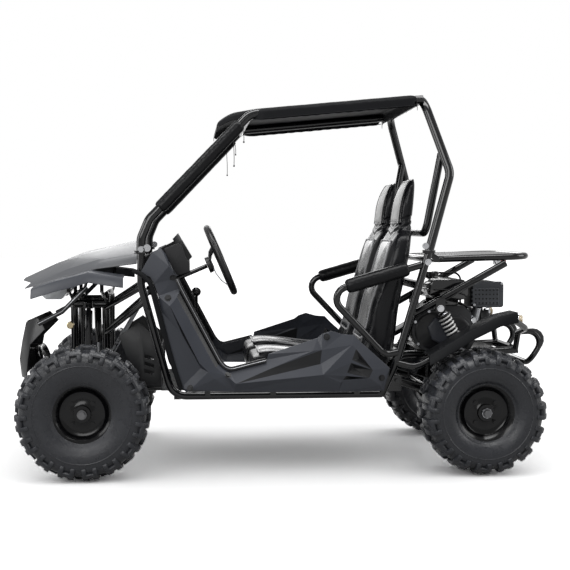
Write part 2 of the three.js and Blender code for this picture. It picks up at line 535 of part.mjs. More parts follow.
// The bolted roll cage: front posts and roof bars, rear hoop, side bars and their pads
const KINK = vec(along(0.33724), CAGE_FOOT_Y - TUBE_BITE, above(1.14532));
const ROOF_FRONT = vec(along(0.08483), CAGE_TOP_Y + TUBE_BITE, above(1.61576));
const ROOF_REAR = vec(along(-0.35379), CAGE_TOP_Y, above(1.68966));
const HOOP_BEND = vec(along(-0.41448), CAGE_FOOT_Y + TUBE_BITE / 2, above(1.35222));
const ROOF_JOINT_X = along(-0.31655);
const BRACE = { top: spot(-0.39655, 0.90909, 1.44089), foot: spot(-0.35931, 0.89091, 1.08374) };
const roofAt = (x) => ROOF_FRONT.clone().lerp(ROOF_REAR, (x - ROOF_FRONT.x) / (ROOF_REAR.x - ROOF_FRONT.x));

function makeFrontCage() {
  const foot = SIDE_FOOT.clone().setZ(SIDE_FOOT.z + CLEAR);
  const side = tube([foot, vec(SIDE_FOOT.x, CAGE_FOOT_Y, above(1.05911)), KINK, ROOF_FRONT,
    roofAt(ROOF_JOINT_X)], CAGE_TUBE, BEND_RADIUS, CAGE_SIDES);
  const flange = disc(foot.clone().setZ(foot.z + TAB / 2), AXIS.z, FLANGE_OUTER, TAB, PIN_SIDES);
  const front = rod(vec(along(0.09034), -CAGE_TOP_Y, above(1.60099)),
    vec(along(0.09034), CAGE_TOP_Y, above(1.60099)), FRAME_TUBE);
  return join(...both(side), ...both(flange), front);
}

function makeRearHoop() {
  const foot = REAR_FOOT.clone().setZ(REAR_FOOT.z + CLEAR);
  const flange = disc(foot.clone().setZ(foot.z + TAB / 2), AXIS.z, FLANGE_OUTER, TAB, PIN_SIDES);
  const side = (way) => [foot, HOOP_BEND, ROOF_REAR].map((at) => vec(at.x, at.y * way, at.z));
  const hoop = tube([...side(1), ...side(-1).reverse()], CAGE_TUBE, BEND_RADIUS, CAGE_SIDES);
  const otherSide = (at) => vec(at.x, -at.y, at.z);
  const brace = tube([BRACE.top, BRACE.foot, otherSide(BRACE.foot), otherSide(BRACE.top)], FRAME_TUBE,
    TIGHT_BEND);
  const stub = rod(roofAt(ROOF_JOINT_X - CLEAR), ROOF_REAR, CAGE_TUBE, CAGE_SIDES);
  const belowJoint = box(TAIL_X, NOSE_X, -PANEL_Y, PANEL_Y, foot.z - 2 * OVERRUN, foot.z);
  return cut(join(hoop, ...both(flange), brace, ...both(stub)), belowJoint);
}

// Side bar: a loop from the rear post forward and back under itself to the sill
const BAR = {
  tube: 26,
  top: spot(-0.34276, 1.00909, 0.94089), nose: spot(-0.10138, 1.00909, 0.81773),
    under: spot(-0.25034, 1.00909, 0.53695), foot: spot(-0.28345, 1.00909, 0.54926) };
const BAR_PAD_SHARES = { front: 0.21, back: 0.86 };
function makeSideBar() {
  const post = tube([vec(REAR_LOWER.x, RAIL_Y, RAIL_Z), vec(along(-0.28207), CAGE_FOOT_Y, above(0.51724)),
    REAR_FOOT], FRAME_TUBE + 6 * CLEAR);
  return cut(tube([BAR.top, BAR.nose, BAR.under, BAR.foot], BAR.tube, TIGHT_BEND, CAGE_SIDES), post);
}

function sleeve(from, to, outer, bore, sides = 12) {
  return sweep(ringShape(outer, bore, sides), new BentRoute([from, to], 1));
}

const barAt = (share) => BAR.nose.clone().lerp(BAR.top, share);
const pillarAt = (share) => KINK.clone().lerp(ROOF_FRONT, share);
const PILLAR_PAD_SHARES = { low: 0.1, high: 0.9 };
addPair('side_bar', makeSideBar(), BLACK_PAINT);
addPair('side_bar_pad', sleeve(barAt(BAR_PAD_SHARES.front), barAt(BAR_PAD_SHARES.back), BAR_PAD_OUTER,
  BAR.tube + 3.5 * CLEAR), VINYL);
addPair('pillar_pad', sleeve(pillarAt(PILLAR_PAD_SHARES.low), pillarAt(PILLAR_PAD_SHARES.high), PAD_OUTER,
  CAGE_TUBE + 4 * CLEAR), VINYL);
add('cage_front', makeFrontCage(), BLACK_PAINT);
add('rear_hoop', makeRearHoop(), BLACK_PAINT);

// Fabric roof: a sheet over the roof bars, hemmed round them, with a visor in front
const ROOF = { front: along(0.0531), rear: along(-0.33448), side: 6, lean: 4,
  rise: CAGE_TUBE / 2 + CLEAR + SHEET_WALL, hem: 31, inset: 40, wall: SHEET_WALL };
const VISOR = { tip: along(0.16759), bend: along(0.11517), fall: 8, drop: 40, y: across(0.75), lap: 4 };
function makeRoof() {
  const slope = Math.atan2(ROOF_REAR.z - ROOF_FRONT.z, ROOF_FRONT.x - ROOF_REAR.x);
  const y = CAGE_TOP_Y + CAGE_TUBE / 2 + ROOF.side;
  const w = ROOF.wall;
  const half = [
    [y, ROOF.rise], [y + ROOF.lean, 0], [y, -ROOF.hem], [y - ROOF.inset, -ROOF.hem],
      [y - ROOF.inset, -ROOF.hem + w],
    [y - w, -ROOF.hem + w], [y + ROOF.lean - w, 0], [y - w, ROOF.rise - w],
  ];
  const outline = [...half, ...half.slice(0).reverse().map(([a, b]) => [-a, b])];
  const shape = new THREE.Shape(outline.map(([a, b]) => new THREE.Vector2(a, b)));
  const length = (ROOF.front - ROOF.rear) / Math.cos(slope);
  const geometry = new THREE.ExtrudeGeometry(shape, { depth: length, bevelEnabled: false });
  geometry.rotateX(Math.PI / 2);
  geometry.rotateZ(-Math.PI / 2);
  geometry.rotateY(slope);
  const start = roofAt(ROOF.front);
  geometry.translate(start.x, 0, start.z);
  const canopy = toSolid(geometry);
  const top = start.z + ROOF.rise;
  const visor = sidePlate([[ROOF.front - VISOR.lap, top - w], [ROOF.front - VISOR.lap, top],
    [VISOR.bend, top - VISOR.fall],
    [VISOR.tip, top - VISOR.drop], [VISOR.tip, top - VISOR.drop - w], [VISOR.bend, top - VISOR.fall - w]],
      -VISOR.y, VISOR.y);
  return join(canopy, visor);
}
add('roof_canopy', makeRoof(), VINYL);

// Moulded body panels with flat facets: each corner is [X, Z, Y] on the left side
function makeBodySide(grow = 0, wall = PANEL_WALL) {
  const corners = [
    [0.30483, 1.01601, 1.05455], [0.27103, 0.90025, 1.05909], [0.26138, 0.85961, 1.06364],
      [0.26621, 0.81158, 1.06818], [0.25172, 0.79064, 1.07273], [0.18897, 0.57635, 1.08182],
    [0.16828, 0.5197, 1.08636], [0.14069, 0.49015, 1.08636], [0.05034, 0.51847, 1.08636],
      [0.04966, 0.55788, 1.08636], [-0.04966, 0.60591, 1.08636], [-0.08828, 0.64286, 1.07727],
    [-0.11172, 0.64655, 1.07727], [-0.1669, 0.633, 1.07273], [-0.26207, 0.48645, 1.06364],
      [-0.24414, 0.37438, 1.05909], [0.26276, 0.40148, 1.05909], [0.33517, 0.61576, 1.05909],
    [0.35241, 0.7032, 1.05909], [0.37103, 0.81281, 1.05909], [0.39793, 0.883, 1.05455],
      [0.36, 0.90517, 1.05455],
    [0.33172, 0.84975, 1.1], [0.29034, 0.66502, 1.10909], [0.21448, 0.49261, 1.10909],
      [0.11793, 0.4532, 1.10909], [-0.08897, 0.50493, 1.11364], [-0.18552, 0.52956, 1.1],
  ].map(([lengthShare, heightShare, widthShare]) =>
    spot(lengthShare, widthShare, heightShare).add(vec(0, grow, 0)));
  const [r1, r2, r3, r4, r5, r6] = [22, 23, 24, 25, 26, 27];
  const faces = [
    [0, 1, r1], [1, 2, 3, r1], [3, 4, r2, r1], [4, 5, r3, r2], [5, 6, r3], [6, 7, r4, r3], [7, 8, r4],
    [8, 9, r5, r4], [9, 10, r5], [10, 11, r5], [11, 12, r5], [12, 13, r6, r5], [13, 14, r6], [14, 15, r6],
    [15, 16, r5, r6], [16, r4, r5], [16, 17, r3, r4], [17, 18, r2, r3], [18, 19, r1, r2], [19, 20, 21, r1],
    [21, 0, r1],
  ];
  const shell = facetShell(corners, faces, vec(0, -grow - wall, 0));
  if (grow) return shell;
  const vents = [
    [[-0.1869, 0.56404], [-0.23241, 0.49507], [-0.19379, 0.49261]],
      [[-0.17586, 0.54187], [-0.18138, 0.49015], [-0.13862, 0.50246]],
    [[-0.22, 0.47783], [-0.18276, 0.47291], [-0.19793, 0.42857]],
      [[-0.17034, 0.47044], [-0.12345, 0.47291], [-0.15517, 0.42611]],
  ].map((ventShares) => sidePlate(outlineAt(ventShares), PANEL_Y - OVERRUN, PANEL_Y + OVERRUN));
  return cut(shell, vents);
}
addPair('body_side', makeBodySide(), PANEL_PLASTIC);

function makeHood(grow = 0, wall = PANEL_WALL) {
  const half = [
    [0.3731, 0.34091, 1.04064], [0.51448, 0.29545, 0.98522], [0.59379, 0.25, 0.9335],
      [0.67655, 0.20455, 0.86207],
    [0.37034, 0.75, 0.98768], [0.46966, 0.72727, 0.96305], [0.54552, 0.61364, 0.92118],
      [0.64897, 0.38636, 0.85468],
    [0.37034, 0.78636, 0.94828], [0.46966, 0.76818, 0.92611], [0.55379, 0.65909, 0.8867],
      [0.66552, 0.40909, 0.82759],
  ];
  const middle = [[0.3731, 0, 1.04803], [0.51448, 0, 0.99261], [0.59379, 0, 0.93842], [0.68, 0, 0.867],
    [0.68207, 0, 0.83744]];
  const corners = [...middle, ...half, ...half.map(([x, y, z]) => [x, -y, z])]
    .map(([lengthShare, widthShare, heightShare]) =>
      spot(lengthShare, widthShare, heightShare).add(vec(0, 0, grow)));
  const rows = (m, h) => [
    [0, h, h + 1, 1], [1, h + 1, h + 2, 2], [2, h + 2, h + 3, 3],
    [h, h + 4, h + 5, h + 1], [h + 1, h + 5, h + 6, h + 2], [h + 2, h + 6, h + 7, h + 3],
    [h + 4, h + 8, h + 9, h + 5], [h + 5, h + 9, h + 10, h + 6], [h + 6, h + 10, h + 11, h + 7],
  ];
  return facetShell(corners, [...rows(0, 5), ...rows(0, 17)], vec(0, 0, -grow - wall));
}
add('hood', makeHood(), PANEL_PLASTIC);

// Fender: an arched strip over the front wheel with a turned down outer lip
function makeFrontFender(grow = 0, wall = PANEL_WALL) {
  const archShares = [[0.63655, 0.83251, 0.75], [0.57655, 0.867, 0.84545], [0.52828, 0.88916, 0.91818],
    [0.48759, 0.91133, 0.96364], [0.44345, 0.89901, 0.99091], [0.40069, 0.88916, 1.01818]];
  const arch = archShares.map(([lengthShare, heightShare, widthShare]) =>
    spot(lengthShare, widthShare, heightShare));
  const inner = arch.map((at, i) =>
    vec(at.x, across(FENDER.innerShares[Math.min(i, 2)]), at.z + FENDER.crown + grow));
  const outer = arch.map((at) => vec(at.x, at.y, at.z + grow));
  const lip = arch.map((at) => vec(at.x, at.y + FENDER.lipOut, at.z - FENDER.lipDown + grow));
  const corners = [...inner, ...outer, ...lip];
  const n = arch.length;
  const faces = arch.slice(1).flatMap((_, i) =>
    [[i, i + 1, n + i + 1, n + i], [n + i, n + i + 1, 2 * n + i + 1, 2 * n + i]]);
  return facetShell(corners, faces, vec(0, 0, -grow - wall));
}
addPair('front_fender', makeFrontFender(), PANEL_PLASTIC);

// Clear headlight wedges under the nose
const lampLug = cut(box(along(0.58414), along(0.59655), across(0.22727), across(0.26818), above(0.84483),
  above(0.98522)), makeHood(PANEL_STAY.grow, PANEL_WALL + CLEAR));
const LAMP = { near: across(0.14091), far: across(0.38182) };
const lamp = sidePlate(outlineAt([[0.63931, 0.81773], [0.61103, 0.7734], [0.5731, 0.7734],
  [0.55241, 0.81773], [0.55793, 0.84975], [0.59379, 0.84975]]), LAMP.near, LAMP.far);
addPair('headlight', join(lamp, lampLug), LENS);

const HEX_FLAT_SHARE = Math.cos(Math.PI / 6);
const FASCIA = { lip: 0.0074, rake: 0.0222, cheek: 0.0296 };
// Dark nose fascia: side cheeks and a front face folded from one moulding
function makeFascia() {
  const half = [
    noseSpot(0.2889, 0.45455, 0.68966), noseSpot(0.1111, 0.34091, 0.66502),
      noseSpot(0.0519, 0.31818, 0.57882), noseSpot(FASCIA.lip, 0.29545, 0.49261),
    noseSpot(0.4037, 0.53636, 0.64039), noseSpot(0.1926, 0.48636, 0.56897),
      noseSpot(0.1556, 0.46818, 0.49754), noseSpot(0.1259, 0.43182, 0.4064),
    noseSpot(FASCIA.cheek, 0.27273, 0.4064),
  ];
  const middle = [noseSpot(0.0519, 0, 0.6601), noseSpot(FASCIA.rake, 0, 0.57882), noseSpot(0, 0, 0.49261),
    noseSpot(FASCIA.rake, 0, 0.40148)];
  const corners = [...middle, ...half, ...half.map((at) => vec(at.x, -at.y, at.z))];
  const side = (h) => [[0, h + 1, h + 2, 1], [1, h + 2, h + 3, 2], [2, h + 3, h + 8, 3],
    [h, h + 4, h + 5, h + 1], [h + 1, h + 5, h + 6, h + 2], [h + 2, h + 6, h + 7, h + 3],
      [h + 3, h + 7, h + 8]];
  const lugs = both(box(NOSE_TUBE_X + (FRAME_TUBE / 2) * HEX_FLAT_SHARE + CLEAR, noseBack(FASCIA.cheek),
    across(0.14545), across(0.2), above(0.52217), above(0.53695)));
  return join(facetShell(corners, [...side(4), ...side(13)], vec(-PANEL_WALL, 0, 0)), lugs);
}
add('front_fascia', makeFascia(), DARK_PLASTIC);

const DASH = { half: across(0.90909), near: across(0.53636), bracket: across(0.68182), far: across(0.80909) };
// Dash: a board on the cross beam and a small binnacle on a bracket
function makeDash() {
  const board = sidePlate(outlineAt([[0.36759, 0.97537], [0.36759, 0.91872], [0.36069, 0.89828],
    [0.35103, 0.89828], [0.35793, 0.92365], [0.35793, 0.97537]]), -DASH.half, DASH.half);
  const bracket = sidePlate(outlineAt([[0.35931, 0.93596], [0.35931, 0.97044], [0.27517, 1.04926],
    [0.26552, 1.0197]]), DASH.near, DASH.bracket);
  const pod = sidePlate(outlineAt([[0.2669, 1.08251], [0.23172, 0.9766], [0.24414, 0.94951],
    [0.28069, 1.05665]]), DASH.near, DASH.far);
  return join(board, bracket, pod);
}
add('dash_pod', makeDash(), DARK_PLASTIC);

// Floor pan with footwell sides that have a row of louvres
const PEDAL = { half: 6, lean: 26, foot: 14, padLow: 44, padHigh: 8, padWall: 8, x: along(0.26),
  z: above(0.39655), pin: 10, boss: 22, outer: 24, arm: 118, pad: 62, tab: 14, pinReach: 16 };
const PEDALS = [0.57273, 0.34545].map(across);
const LEVER = { x: along(0.22), y: across(0.09091), top: above(0.78818), stem: 14, knob: 19 };
const SPLASH_Y = across(0.46818);
const LOUVRE = { count: 3, pitch: 28, height: 14, rise: 12, front: along(0.35655), rear: along(0.33172),
  low: above(0.41872) };
function makeFloor() {
  const floorZ = RAIL_Z + FRAME_TUBE / 2 + CLEAR;
  const pan = box(along(-0.23379), FLOOR_FRONT_X, across(-0.75), across(0.75), floorZ, floorZ + SHEET_WALL);
  const toe = box(FLOOR_FRONT_X - SHEET_WALL, FLOOR_FRONT_X, across(-0.68182), across(0.68182), floorZ,
    above(0.5665));
  const splash = cut(
    sidePlate([[FLOOR_FRONT_X - TUBE_BITE, floorZ],
      ...outlineAt([[0.30828, 0.5665], [0.37034, 0.66502], [0.42276, 0.60591]]), [along(0.3731), floorZ]],
      SPLASH_Y, SPLASH_Y + SHEET_WALL),
    Array.from({ length: LOUVRE.count }, (_, i) => {
      const low = LOUVRE.low + i * LOUVRE.pitch;
      return sidePlate([[LOUVRE.rear, low], [LOUVRE.front, low + LOUVRE.rise],
        [LOUVRE.front, low + LOUVRE.rise + LOUVRE.height],
        [LOUVRE.rear, low + LOUVRE.height]], SPLASH_Y - OVERRUN, SPLASH_Y + OVERRUN);
    }));
  const padHoles = SEAT_BEAMS.flatMap((x) => both(box(x - SEAT_PAD.half - CLEAR, x + SEAT_PAD.half + CLEAR,
    SEAT_PAD.near - CLEAR, SEAT_PAD.far + CLEAR, RAIL_Z, 2 * RAIL_Z)));
  const pedalTabs = PEDALS.flatMap((y) => [-1, 1].map((way) => {
    const at = y + way * (PEDAL.boss / 2 + CLEAR + SHEET_WALL / 2);
    return box(PEDAL.x - PEDAL.tab, PEDAL.x + PEDAL.tab, at - SHEET_WALL / 2, at + SHEET_WALL / 2, floorZ,
      PEDAL.z + PEDAL.tab);
  }));
  const pedalPins = PEDALS.map((y) =>
    rod(vec(PEDAL.x, y - PEDAL.pinReach, PEDAL.z), vec(PEDAL.x, y + PEDAL.pinReach, PEDAL.z), PEDAL.pin));
  const leverTabs = [-1, 1].map((way) => {
    const at = LEVER.y + way * (PEDAL.boss / 2 + CLEAR + SHEET_WALL / 2);
    return box(LEVER.x - PEDAL.tab, LEVER.x + PEDAL.tab, at - SHEET_WALL / 2, at + SHEET_WALL / 2, floorZ,
      PEDAL.z + PEDAL.tab);
  });
  const leverPin = rod(vec(LEVER.x, LEVER.y - PEDAL.pinReach, PEDAL.z),
    vec(LEVER.x, LEVER.y + PEDAL.pinReach, PEDAL.z), PEDAL.pin);
  return join(cut(pan, padHoles), toe, ...both(splash), pedalTabs, pedalPins, leverTabs, leverPin);
}
add('floor_pan', makeFloor(), DARK_PLASTIC);

// Bucket seats: a loft of dished sections from the cushion nose up to the headrest
const SEAT_Y = across(0.45455);
function loft(rings) {
  const size = rings[0].length;
  const middle = (ring) => ring.reduce((sum, p) => sum.add(p), vec(0, 0, 0)).divideScalar(size);
  const points = [...rings.flat(), middle(rings[0]), middle(rings[rings.length - 1])];
  const index = [];
  rings.slice(1).forEach((_, r) => {
    for (let i = 0; i < size; i += 1) {
      const a = r * size + i;
      const b = r * size + ((i + 1) % size);
      index.push(a, b, a + size, b, b + size, a + size);
    }
  });
  const last = (rings.length - 1) * size;
  for (let i = 0; i < size; i += 1) {
    const j = (i + 1) % size;
    index.push(i, points.length - 2, j, last + i, last + j, points.length - 1);
  }
  const geometry = new THREE.BufferGeometry();
  geometry.setAttribute('position', new THREE.Float32BufferAttribute(points.flatMap((p) => p.toArray()), 3));
  geometry.setIndex(index);
  return toSolid(geometry);
}

// Each station: front surface X and Z, back surface X and Z, then half width and dish as shares of the
// seat's own offset
const SEAT_REST_SHARE = SEAT_REST_Z / CAGE_JOINT_Z;
const SEAT_STATION_SHARES = [
  [0.08759, 0.48276, 0.08345, 0.42365, 0.75, 0.01],
  [0.08207, 0.53695, 0.07517, 0.38916, 0.83, 0.03],
  [0.05586, 0.55419, 0.0531, SEAT_REST_SHARE, 0.86, 0.07],
  [-0.0269, 0.54926, -0.0269, SEAT_REST_SHARE, 0.88, 0.13],
  [-0.11655, 0.53448, -0.12345, SEAT_REST_SHARE, 0.88, 0.17],
  [-0.17586, 0.54926, -0.22, SEAT_REST_SHARE, 0.84, 0.18],
  [-0.20345, 0.64039, -0.28345, 0.49261, 0.82, 0.18],
  [-0.21724, 0.75123, -0.30552, 0.73892, 0.86, 0.18],
  [-0.24069, 0.87438, -0.31931, 0.86946, 0.9, 0.17],
  [-0.26, 0.98522, -0.33172, 0.98522, 0.89, 0.15],
  [-0.27793, 1.06158, -0.33862, 1.06897, 0.79, 0.11],
  [-0.29034, 1.10099, -0.34138, 1.10345, 0.59, 0.06],
  [-0.29724, 1.14532, -0.34276, 1.14532, 0.56, 0.05],
  [-0.30552, 1.23153, -0.3469, 1.23153, 0.58, 0.06],
  [-0.31931, 1.30788, -0.34966, 1.31034, 0.52, 0.04],
  [-0.33172, 1.3399, -0.34828, 1.3399, 0.37, 0.01],
];
const SEAT_SECTION_SHARES = [
  [-0.94, 0.04], [-0.8, 0], [-0.58, 0.5], [-0.3, 1], [0, 1], [0.3, 1], [0.58, 0.5], [0.8, 0], [0.94, 0.04],
];
const ROLL_SHARE = 0.9;
const SEAT_ROLL_SHARE = 0.06;
const SEAT_BACK_SHARES = [[1, 0.4], [0.97, 0.8], [0.8, 1], [-0.8, 1], [-0.97, 0.8], [-1, 0.4]];
function makeSeat() {
  const rings = SEAT_STATION_SHARES.map(([frontX, frontZ, backX, backZ, halfShare, dishShare]) => {
    const half = halfShare * SEAT_Y;
    const dish = dishShare * SEAT_Y;
    const front = vec(along(frontX), SEAT_Y, above(frontZ));
    const back = vec(along(backX), SEAT_Y, above(backZ) + (backZ === SEAT_REST_SHARE ? CLEAR : 0));
    const depth = back.clone().sub(front);
    const inward = depth.clone().normalize();
    const frontRow = SEAT_SECTION_SHARES.map(([u, v]) =>
      front.clone().addScaledVector(inward,
      v * dish + (Math.abs(u) > ROLL_SHARE ? depth.length() * SEAT_ROLL_SHARE : 0))
      .add(vec(0, u * half, 0)));
    const backRow = SEAT_BACK_SHARES.map(([u, v]) =>
      front.clone().addScaledVector(depth, v).add(vec(0, u * half, 0)));
    return [...frontRow, ...backRow];
  });
  return loft(rings);
}
addPair('seat', makeSeat(), SEAT_VINYL);

// Rear luggage rack: a tube loop with lengthwise slats, on the struts and the rear posts
function makeRack() {
  const corner = (x, way) => vec(x, RACK.y * way, RACK.z + (RACK.front - x) * RACK.slopeShare);
  const loop = tube([corner(RACK.front, 0), corner(RACK.front, 1), corner(RACK.back, 1),
    corner(RACK.back, -1), corner(RACK.front, -1),
    corner(RACK.front, 0)], RACK.loop, BEND_RADIUS, CAGE_SIDES);
  const slats = [-0.5, 0, 0.5].map((share) => rod(
    vec(RACK.front, RACK.y * share, RACK.z), vec(RACK.back, RACK.y * share, corner(RACK.back, 1).z),
      RACK.slat, SLAT_SIDES));
  const middle = rod(vec(along(-0.52), -RACK.y, RACK.z + TAB), vec(along(-0.52), RACK.y, RACK.z + TAB),
    RACK.bar, SLAT_SIDES);
  const ears = both(sidePlate(outlineAt([[-0.39655, 0.94828], [-0.39655, 0.97291], [-0.36897, 1.00739],
    [-0.35931, 0.98522]]), RACK.earY, RACK.earY + TAB))
    .concat(both(rod(vec(RACK.front, RACK.y - BEND_RADIUS - TAB, RACK.z),
      vec(RACK.front, across(0.87727), RACK.z), RACK.bar, HIDDEN_SIDES)));
  return join(loop, slats, middle, ears);
}

// Rear fender: a curved strip over the tyre with a turned down outer lip
function makeRearFender(grow = 0, wall = PANEL_WALL) {
  const arch = outlineAt([[-0.35793, 0.53818], [-0.4131, 0.5936], [-0.46828, 0.65271],
    [-0.53724, 0.71182], [-0.58276, 0.72906]]);
  const corners = [
    ...arch.map(([x, z]) => vec(x, RAIL_Y, z + grow)),
    ...arch.map(([x, z]) => vec(x, REAR_FENDER_Y, z + grow)),
    ...arch.map(([x, z]) => vec(x, REAR_FENDER_Y + FENDER.lipOut, z - FENDER.lipDown + grow)),
  ];
  const n = arch.length;
  const faces = arch.slice(1).flatMap((_, i) =>
    [[i, i + 1, n + i + 1, n + i], [n + i, n + i + 1, 2 * n + i + 1, 2 * n + i]]);
  return facetShell(corners, faces, vec(0, 0, -grow - wall));
}
addPair('rear_fender', makeRearFender(), PANEL_PLASTIC);
add('rear_rack', makeRack(), BLACK_PAINT);

// Engine: crankcase, finned cylinder, head, starter cowl and clutch cover in one casting group
const MUFFLER = { front: along(-0.53172), back: along(-0.61862), low: above(0.71921),
  high: above(0.84483), near: across(0.20909), far: across(-0.13636), chamfer: 16 };
const ENGINE = { front: along(-0.39655), back: along(-0.52897), left: across(0.20909),
  right: across(-0.22727), shoulder: above(0.68966), top: above(0.7266), bevel: 30 };
const COWL = { outer: 176, deep: 50, out: 24, sides: 14 };
const CYLINDER = { foot: spot(-0.48897, -0.00909, 0.62562), axis: vec(-0.98, 0, 0.15).normalize(),
  fin: 104, fins: 6, pitch: 14, finWall: 5,
  firstFin: 34, root: -10, head: 120, barrelShare: 0.62, cover: 134, coverWall: 34, coverShare: 0.7 };
const CLUTCH = { radius: 82, sides: 20, boss: 70, bossDeep: 86, near: across(0.51364),
  far: across(0.38636), centre: spot(-0.40345, 0.45, 0.62069), rear: spot(-0.46138, 0.45, 0.59852) };
function makeEngine() {
  const base = ENGINE_BASE_Z + CLEAR;
  const { front, back: rear, shoulder, bevel } = ENGINE;
  const crankcase = sidePlate([[front, base], [front, shoulder], [front - bevel, ENGINE.top],
    [rear + bevel, ENGINE.top],
    [rear, shoulder], [rear, base + bevel], [rear + bevel, base]], ENGINE.right, ENGINE.left);
  const outBy = (distance) => CYLINDER.foot.clone().addScaledVector(CYLINDER.axis, distance);
  const barrel = rod(outBy(CYLINDER.root), outBy(CYLINDER.head), CYLINDER.fin * CYLINDER.barrelShare,
    PIN_SIDES);
  const turn = new THREE.Quaternion().setFromUnitVectors(AXIS.y, CYLINDER.axis);
  const block = (distance, size, thick) => {
    const geometry = new THREE.BoxGeometry(size, thick, size);
    geometry.applyQuaternion(turn);
    geometry.translate(...outBy(distance).toArray());
    return toSolid(geometry);
  };
  const fins = Array.from({ length: CYLINDER.fins },
    (_, i) => block(CYLINDER.firstFin + i * CYLINDER.pitch, CYLINDER.fin, CYLINDER.finWall));
  const rocker = block(CYLINDER.cover, CYLINDER.fin * CYLINDER.coverShare, CYLINDER.coverWall);
  const cowl = disc(vec(along(-0.45448), ENGINE.right - COWL.out, above(0.64286)), AXIS.y, COWL.outer,
    COWL.deep, COWL.sides);
  const lean = CLUTCH.centre.clone().sub(CLUTCH.rear).normalize().applyAxisAngle(AXIS.y,
    Math.PI / 2).multiplyScalar(CLUTCH.radius);
  const corners = [CLUTCH.centre.clone().add(lean), CLUTCH.rear.clone().add(lean),
    CLUTCH.rear.clone().sub(lean), CLUTCH.centre.clone().sub(lean)];
  const clutchWaist = sidePlate(corners.map((at) => [at.x, at.z]), CLUTCH.far, CLUTCH.near);
  const clutch = join(disc(CLUTCH.centre, AXIS.y, CLUTCH.radius * 2, CLUTCH.near - CLUTCH.far, CLUTCH.sides),
    disc(CLUTCH.rear, AXIS.y, CLUTCH.radius * 2, CLUTCH.near - CLUTCH.far, CLUTCH.sides));
  const clutchBoss = disc(spot(-0.43379, 0.3, 0.61576), AXIS.y, CLUTCH.boss, CLUTCH.bossDeep, PIN_SIDES);
  const port = box(along(-0.5731), along(-0.55517), across(-0.04545), across(0.04545), above(0.67734),
    MUFFLER.low - CLEAR);
  return join(port, crankcase, barrel, fins, rocker, cowl, clutch, clutchBoss, clutchWaist);
}
add('engine', makeEngine(), ALLOY);

const TANK = { front: along(-0.40759), back: along(-0.51241), low: above(0.76108), high: above(0.85714),
  y: across(0.31818), corner: 18, cap: 52, capHigh: 20, foot: 12, feet: [-0.20455, 0.13636].map(across) };
function makeTank() {
  const c = TANK.corner;
  const body = sidePlate([[TANK.front, TANK.low + c], [TANK.front, TANK.high - c],
    [TANK.front - c, TANK.high], [TANK.back + c, TANK.high],
    [TANK.back, TANK.high - c], [TANK.back, TANK.low + c], [TANK.back + c, TANK.low],
      [TANK.front - c, TANK.low]], -TANK.y, TANK.y);
  const cap = disc(vec(along(-0.44069), across(-0.13636), TANK.high + TUBE_BITE), AXIS.z, TANK.cap,
    TANK.capHigh, PIN_SIDES);
  const feet = TANK.feet.map((y) =>
    box(along(-0.49586), along(-0.4269), y, y + TANK.foot, ENGINE.top + CLEAR, TANK.low + TUBE_BITE));
  return join(body, cap, feet);
}
add('fuel_tank', makeTank(), DARK_PLASTIC);

function makeMuffler() {
  const c = MUFFLER.chamfer;
  const shell = sidePlate([[MUFFLER.front, MUFFLER.low], [MUFFLER.front, MUFFLER.high - c / 2],
    [MUFFLER.front - c, MUFFLER.high],
    [MUFFLER.back + 2 * c, MUFFLER.high], [MUFFLER.back, MUFFLER.high - 1.5 * c],
      [MUFFLER.back, MUFFLER.low + c], [MUFFLER.back + c, MUFFLER.low]],
  MUFFLER.far, MUFFLER.near);
  return shell;
}
add('muffler', makeMuffler(), DARK_PLASTIC);

// Steering: dished wheel, column shaft, lower shaft with its pitman arm
const GRIP = { radius: 129.5, tube: 26, hub: 44, spoke: 26, hubDiameter: 62, hubThick: 22, spokeWall: 5 };
const ALONG_COLUMN = new THREE.Quaternion().setFromUnitVectors(AXIS.z, COLUMN_AXIS);
const onColumn = (distance) => WHEEL_CENTRE.clone().addScaledVector(COLUMN_AXIS, -distance);
function makeSteeringWheel() {
  const torus = new THREE.TorusGeometry(GRIP.radius, GRIP.tube / 2, 6, 24);
  torus.applyQuaternion(ALONG_COLUMN);
  torus.translate(...WHEEL_CENTRE.toArray());
  const hub = disc(onColumn(GRIP.hub), COLUMN_AXIS, GRIP.hubDiameter, GRIP.hubThick, 14);
  const spokes = [Math.PI / 2, Math.PI * 7 / 6, Math.PI * 11 / 6].map((angle) => {
    const way = vec(Math.sin(angle), Math.cos(angle), 0).applyQuaternion(ALONG_COLUMN);
    const inner = onColumn(GRIP.hub).addScaledVector(way, GRIP.hubDiameter * 0.4);
    const outer = WHEEL_CENTRE.clone().addScaledVector(way, GRIP.radius);
    const along = outer.clone().sub(inner);
    const geometry = new THREE.BoxGeometry(GRIP.spoke, along.length(), GRIP.spokeWall);
    const yAxis = along.clone().normalize();
    const xAxis = yAxis.clone().cross(COLUMN_AXIS).normalize();
    geometry.applyMatrix4(new THREE.Matrix4().makeBasis(xAxis, yAxis, xAxis.clone().cross(yAxis)));
    geometry.translate(...inner.clone().add(outer).divideScalar(2).toArray());
    return toSolid(geometry);
  });
  return join(toSolid(torus), hub, spokes);
}
const JOINT_BALL = 26;
const CUP = { outer: 38, back: 20, lip: 2, play: 1.2 };
const ball = (diameter) => {
  const sphere = new THREE.SphereGeometry(diameter / 2, 12, 8);
  sphere.translate(...COLUMN_END.toArray());
  return toSolid(sphere);
};
